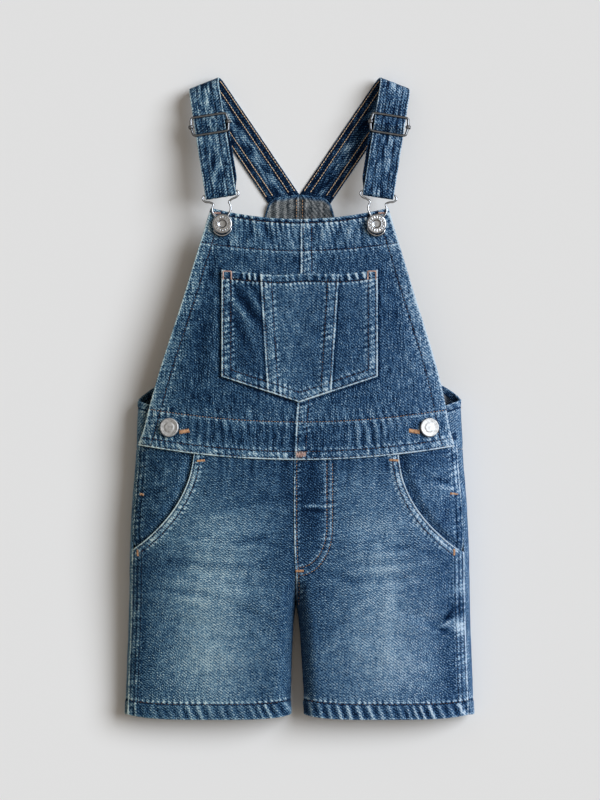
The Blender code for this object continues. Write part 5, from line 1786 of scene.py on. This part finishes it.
def pocket_sewing(pitch, radius):
    """Rows of the pocket's outline, seams and mouth, and a square of tacks at each corner."""
    marks = pocket_marks()

    def face(x, y):
        return on_front(1, x, y, POCKET_LIFT + pocket_mouth(x, y) + marks(x, y)[0])
    rows = sewer(face, pitch, radius)
    half = POCKET_HALF_WIDTH
    dark = []
    for k, inset in enumerate(POCKET_ROWS):
        outline = pocket_outline(inset, 0.6 * POCKET_TOP_CORNER_LIFT, 1.5)
        dark += rows(outline, (0.0,), 60 + k)
    for sign in (-1, 1):
        line = pocket_seam_line(sign)
        for distance in POCKET_SEAM_ROWS:
            dark += rows(beside(line, distance)[2:-2], (0.0,), 63)
    top = rightward(pocket_top_y, -half + 1.0, half - 1.0)[::-1]
    joined("pocket_stitches", dark + rows(top, (6.8,), 66), thread("Rust thread"))
    high, low = POCKET_TOP_Y + 2.6, POCKET_TOP_Y - 4.6
    ends = []
    for x0, x1 in ((8.6 - half, 1.6 - half), (half - 8.6, half - 1.6)):
        ends += [((x0, high), (x1, high)), ((x0, high), (x0, low)), ((x1, high), (x1, low))]
    tacks = tacked(face, ends, 1.4, radius=0.32, pitch=0.6)
    joined("pocket_tacks", tacks, thread("Pink thread"))


def strap_face(side, underneath):
    """Rule from the distances along and across a strap to its marked face and normal."""
    hand, share = (-1, 0.5) if underneath else (1, 0.8)

    def face(along, across):
        point = strap_out(along, across)
        beside_it = strap_out(along, across + 0.3) - point
        normal = hand * unit(np.cross(beside_it, strap_out(along + 0.3, across) - point))
        lift = share * strap_marks(side, along, across, inner=underneath)[0]
        point = point + (STRAP_WALL / 2 + lift)[..., None] * normal
        return point * (side, 1, 1), normal * (side, 1, 1)
    return face


def strap_sewing(word, side, pitch, radius):
    """Four rows along a strap's outer face, and four on the inner face of its back part."""
    edge = STRAP_WIDTH / 2
    upper, under = [], []
    for across in [hand * (edge - row) for hand in (1, -1) for row in STRAP_ROWS]:
        line = straight((STRAP_FACES_AT, across), (HOOK_AT - 1.0, across))
        upper.append(sew(line, strap_face(side, False), pitch, radius, 70))
        line = straight((STRAP_END_AT + 2.0, across), (STRAP_FACES_AT, across))
        under.append(sew(line, strap_face(side, True), pitch, 1.3 * radius, 75, share=0.95))
    joined("strap_stitches_" + word, upper, thread("Navy thread"))
    joined("strap_back_stitches_" + word, under, thread("Gold thread"))


def back_sewing(pitch, radius):
    """Rows beside the centre seam, on the inner face of the back above the waist."""
    def face(x, y):
        flat = 0.0 * x
        point = np.stack((x, y, PANEL + NECK_RISE * smooth((y - NECK_RISE_AT) / 10.0)), axis=-1)
        return point, np.stack((flat, flat, 1.0 + flat), axis=-1)
    rows = []
    for offset in (-2.6, 2.6):
        line = upward(lambda y: twist(y) + offset, 380.0, 455.0)
        rows.append(sew(line, face, pitch, radius, 80))
    joined("back_stitches", rows, thread("Orange thread"))


# -------- stage

SUN_COLOUR = (0.945, 0.996, 1.055)
KEY_WAY = (-0.9, -0.36, -1.0)
KEY_SPREAD = math.radians(40)
BACKDROP = 0.745          # grey that the camera sees past the ground
CAMERA_PLACE = (0.000435, -0.0019)


def floor():
    """Pale ground under the garment."""
    mesh = bpy.data.meshes.new("floor")
    corners = [(x, y, -0.05 * MM) for x, y in ((-3, -3), (3, -3), (3, 3), (-3, 3))]
    mesh.from_pydata(corners, [], [(0, 1, 2, 3)])
    ground = bpy.data.objects.new("floor", mesh)
    bpy.context.scene.collection.objects.link(ground)
    finish = {"Base Color": (0.86, 0.86, 0.86, 1), "Roughness": 1.0, "Specular IOR Level": 0.0}
    mesh.materials.append(plain_material("Ground", finish)[0])


def world(horizon, zenith, backdrop):
    """Warm grey surroundings, brighter overhead; the camera sees them at an even strength.

    Strength climbs from the horizon to the zenith with the square of the direction's height.
    """
    studio = bpy.context.scene.world = bpy.data.worlds.new("Studio")
    studio.use_nodes = True
    tree = studio.node_tree
    tree.nodes.clear()
    way = node(tree, "SeparateXYZ", {0: node(tree, "TexCoord").outputs["Generated"]})
    up = math_node(tree, "MAXIMUM", way.outputs["Z"], 0.0)
    climb = math_node(tree, "MULTIPLY", math_node(tree, "MULTIPLY", up, up), zenith - horizon)
    light = node(tree, "Background", {
        "Color": (0.92, 0.81, 0.68, 1), "Strength": math_node(tree, "ADD", climb, horizon)})
    seen = node(tree, "Background", {"Color": (backdrop, backdrop, backdrop, 1)})
    camera_ray = node(tree, "LightPath").outputs["Is Camera Ray"]
    shown = {0: camera_ray, 1: light.outputs[0], 2: seen.outputs[0]}
    node(tree, "OutputWorld", {"Surface": node(tree, "MixShader", shown).outputs[0]})


def sun(name, strength, spread_angle, towards):
    """Far light shining along a direction."""
    light = bpy.data.lights.new(name, "SUN")
    light.energy = strength
    light.color = SUN_COLOUR
    light.angle = spread_angle
    lamp = bpy.data.objects.new(name, light)
    lamp.rotation_euler = Vector(towards).to_track_quat("-Z", "Y").to_euler()
    bpy.context.scene.collection.objects.link(lamp)


def camera(height, focal_length):
    """Camera over the middle of the garment, looking straight down."""
    lens = bpy.data.cameras.new("Camera")
    lens.sensor_fit = "AUTO"
    lens.sensor_width = 36.0
    lens.lens = focal_length
    lens.clip_end = 20.0
    eye = bpy.data.objects.new("Camera", lens)
    eye.location = (*CAMERA_PLACE, height)
    bpy.context.scene.collection.objects.link(eye)
    bpy.context.scene.camera = eye


# -------- add-on

class DungareesCloth(bpy.types.PropertyGroup):
    """Settings of the denim shells."""

    cell: bpy.props.FloatProperty(
        name="Cell", description="Size of a cell of the front's grids", default=0.00098,
        min=0.0004, unit="LENGTH", subtype="DISTANCE")


class DungareesThread(bpy.types.PropertyGroup):
    """Settings of the sewing."""

    pitch: bpy.props.FloatProperty(
        name="Pitch", description="Distance from stitch to stitch", default=0.0026,
        min=0.001, unit="LENGTH", subtype="DISTANCE")
    radius: bpy.props.FloatProperty(
        name="Radius", description="Radius of a thread", default=0.0003,
        min=0.0001, unit="LENGTH", subtype="DISTANCE")


class DungareesStage(bpy.types.PropertyGroup):
    """Settings of the light and camera."""

    key: bpy.props.FloatProperty(
        name="Key", description="Strength of the main light", default=2.76, min=0.0)
    horizon: bpy.props.FloatProperty(
        name="Horizon", description="Strength of the surroundings at the horizon", default=0.08,
        min=0.0)
    zenith: bpy.props.FloatProperty(
        name="Zenith", description="Strength of the surroundings overhead", default=0.50, min=0.0)
    height: bpy.props.FloatProperty(
        name="Height", description="Height of the camera", default=4.48,
        unit="LENGTH", subtype="DISTANCE")
    focal_length: bpy.props.FloatProperty(
        name="Focal length", description="Focal length of the lens in millimetres", default=229.6)


class DungareesFrontLegs(bpy.types.Operator):
    """Adds the fronts of both legs and their pocket facings"""

    bl_idname = "dungarees.front_legs"
    bl_label = "Front legs"

    def execute(self, context):
        cell = context.scene.dungarees_cloth.cell / MM
        for word, side in SIDES.items():
            hip_facing("hip_facing_" + word, side, cell * 1.1)
            front_leg("front_leg_" + word, side, cell)
        return {"FINISHED"}


class DungareesBack(bpy.types.Operator):
    """Adds the backs of both legs and the back above the waist"""

    bl_idname = "dungarees.back"
    bl_label = "Back"

    def execute(self, context):
        cell = context.scene.dungarees_cloth.cell / MM
        for word, side in SIDES.items():
            back_leg("back_leg_" + word, side, cell * 1.3)
            back_bib("back_bib_" + word, side, cell * 1.1)
        return {"FINISHED"}


class DungareesBib(bpy.types.Operator):
    """Adds the bib with its waistband, and the bib pocket"""

    bl_idname = "dungarees.bib"
    bl_label = "Bib and pocket"

    def execute(self, context):
        cell = context.scene.dungarees_cloth.cell / MM
        bib("bib", cell)
        bib_pocket("bib_pocket", cell * 0.8)
        return {"FINISHED"}


class DungareesStraps(bpy.types.Operator):
    """Adds both shoulder straps"""

    bl_idname = "dungarees.straps"
    bl_label = "Straps"

    def execute(self, context):
        cell = context.scene.dungarees_cloth.cell / MM
        for word, side in SIDES.items():
            strap("strap_" + word, side, cell * 0.75)
        return {"FINISHED"}


class DungareesMetal(bpy.types.Operator):
    """Adds the sliders, hooks and buttons"""

    bl_idname = "dungarees.metal"
    bl_label = "Fittings"

    def execute(self, context):
        for word, side in SIDES.items():
            slider("slider_" + word, side)
            hook("hook_" + word, side)
            button("bib_button_" + word, side, BIB_BUTTON, BIB_BUTTON_PROFILE, DOTS, "Nickel")
            button("waist_button_" + word, side, WAIST_BUTTON, WAIST_BUTTON_PROFILE, 0,
                   "Brushed nickel")
        return {"FINISHED"}


class DungareesSewing(bpy.types.Operator):
    """Adds every row of stitches and the bartacks"""

    bl_idname = "dungarees.sewing"
    bl_label = "Sewing"

    def execute(self, context):
        thread = context.scene.dungarees_thread
        pitch, radius = thread.pitch / MM, thread.radius / MM
        for word, side in SIDES.items():
            leg_sewing(word, side, pitch, radius)
            strap_sewing(word, side, pitch, radius)
        bib_sewing(pitch, radius)
        pocket_sewing(pitch, radius)
        back_sewing(pitch, radius)
        return {"FINISHED"}


class DungareesSetStage(bpy.types.Operator):
    """Adds the ground, the lights and the camera"""

    bl_idname = "dungarees.stage"
    bl_label = "Stage"

    def execute(self, context):
        stage = context.scene.dungarees_stage
        floor()
        world(stage.horizon, stage.zenith, BACKDROP)
        sun("Key", stage.key, KEY_SPREAD, KEY_WAY)
        camera(stage.height, stage.focal_length)
        context.scene.view_settings.view_transform = "Standard"
        return {"FINISHED"}


class DungareesPanel(bpy.types.Panel):
    """Panel that lists the parts of the dungarees"""

    bl_idname = "VIEW3D_PT_dungarees"
    bl_label = "Dungarees"
    bl_space_type = "VIEW_3D"
    bl_region_type = "UI"
    bl_category = "Dungarees"

    def draw(self, context):
        scene = context.scene
        for settings in (scene.dungarees_cloth, scene.dungarees_thread, scene.dungarees_stage):
            column = self.layout.column(align=True)
            for name in settings.__annotations__:
                column.prop(settings, name)
        for step in STEPS:
            self.layout.operator(step.bl_idname)


STEPS = (
    DungareesFrontLegs,
    DungareesBack,
    DungareesBib,
    DungareesStraps,
    DungareesMetal,
    DungareesSewing,
    DungareesSetStage,
)
SETTINGS = {
    "dungarees_cloth": DungareesCloth,
    "dungarees_thread": DungareesThread,
    "dungarees_stage": DungareesStage,
}


def register():
    for name, group in SETTINGS.items():
        bpy.utils.register_class(group)
        setattr(bpy.types.Scene, name, bpy.props.PointerProperty(type=group))
    for step in STEPS:
        bpy.utils.register_class(step)
    bpy.utils.register_class(DungareesPanel)


def unregister():
    bpy.utils.unregister_class(DungareesPanel)
    for step in reversed(STEPS):
        bpy.utils.unregister_class(step)
    for name, group in SETTINGS.items():
        delattr(bpy.types.Scene, name)
        bpy.utils.unregister_class(group)


def main():
    register()
    bpy.ops.dungarees.front_legs()
    bpy.ops.dungarees.back()
    bpy.ops.dungarees.bib()
    bpy.ops.dungarees.straps()
    bpy.ops.dungarees.metal()
    bpy.ops.dungarees.sewing()
    bpy.ops.dungarees.stage()


if __name__ == "__main__":
    main()
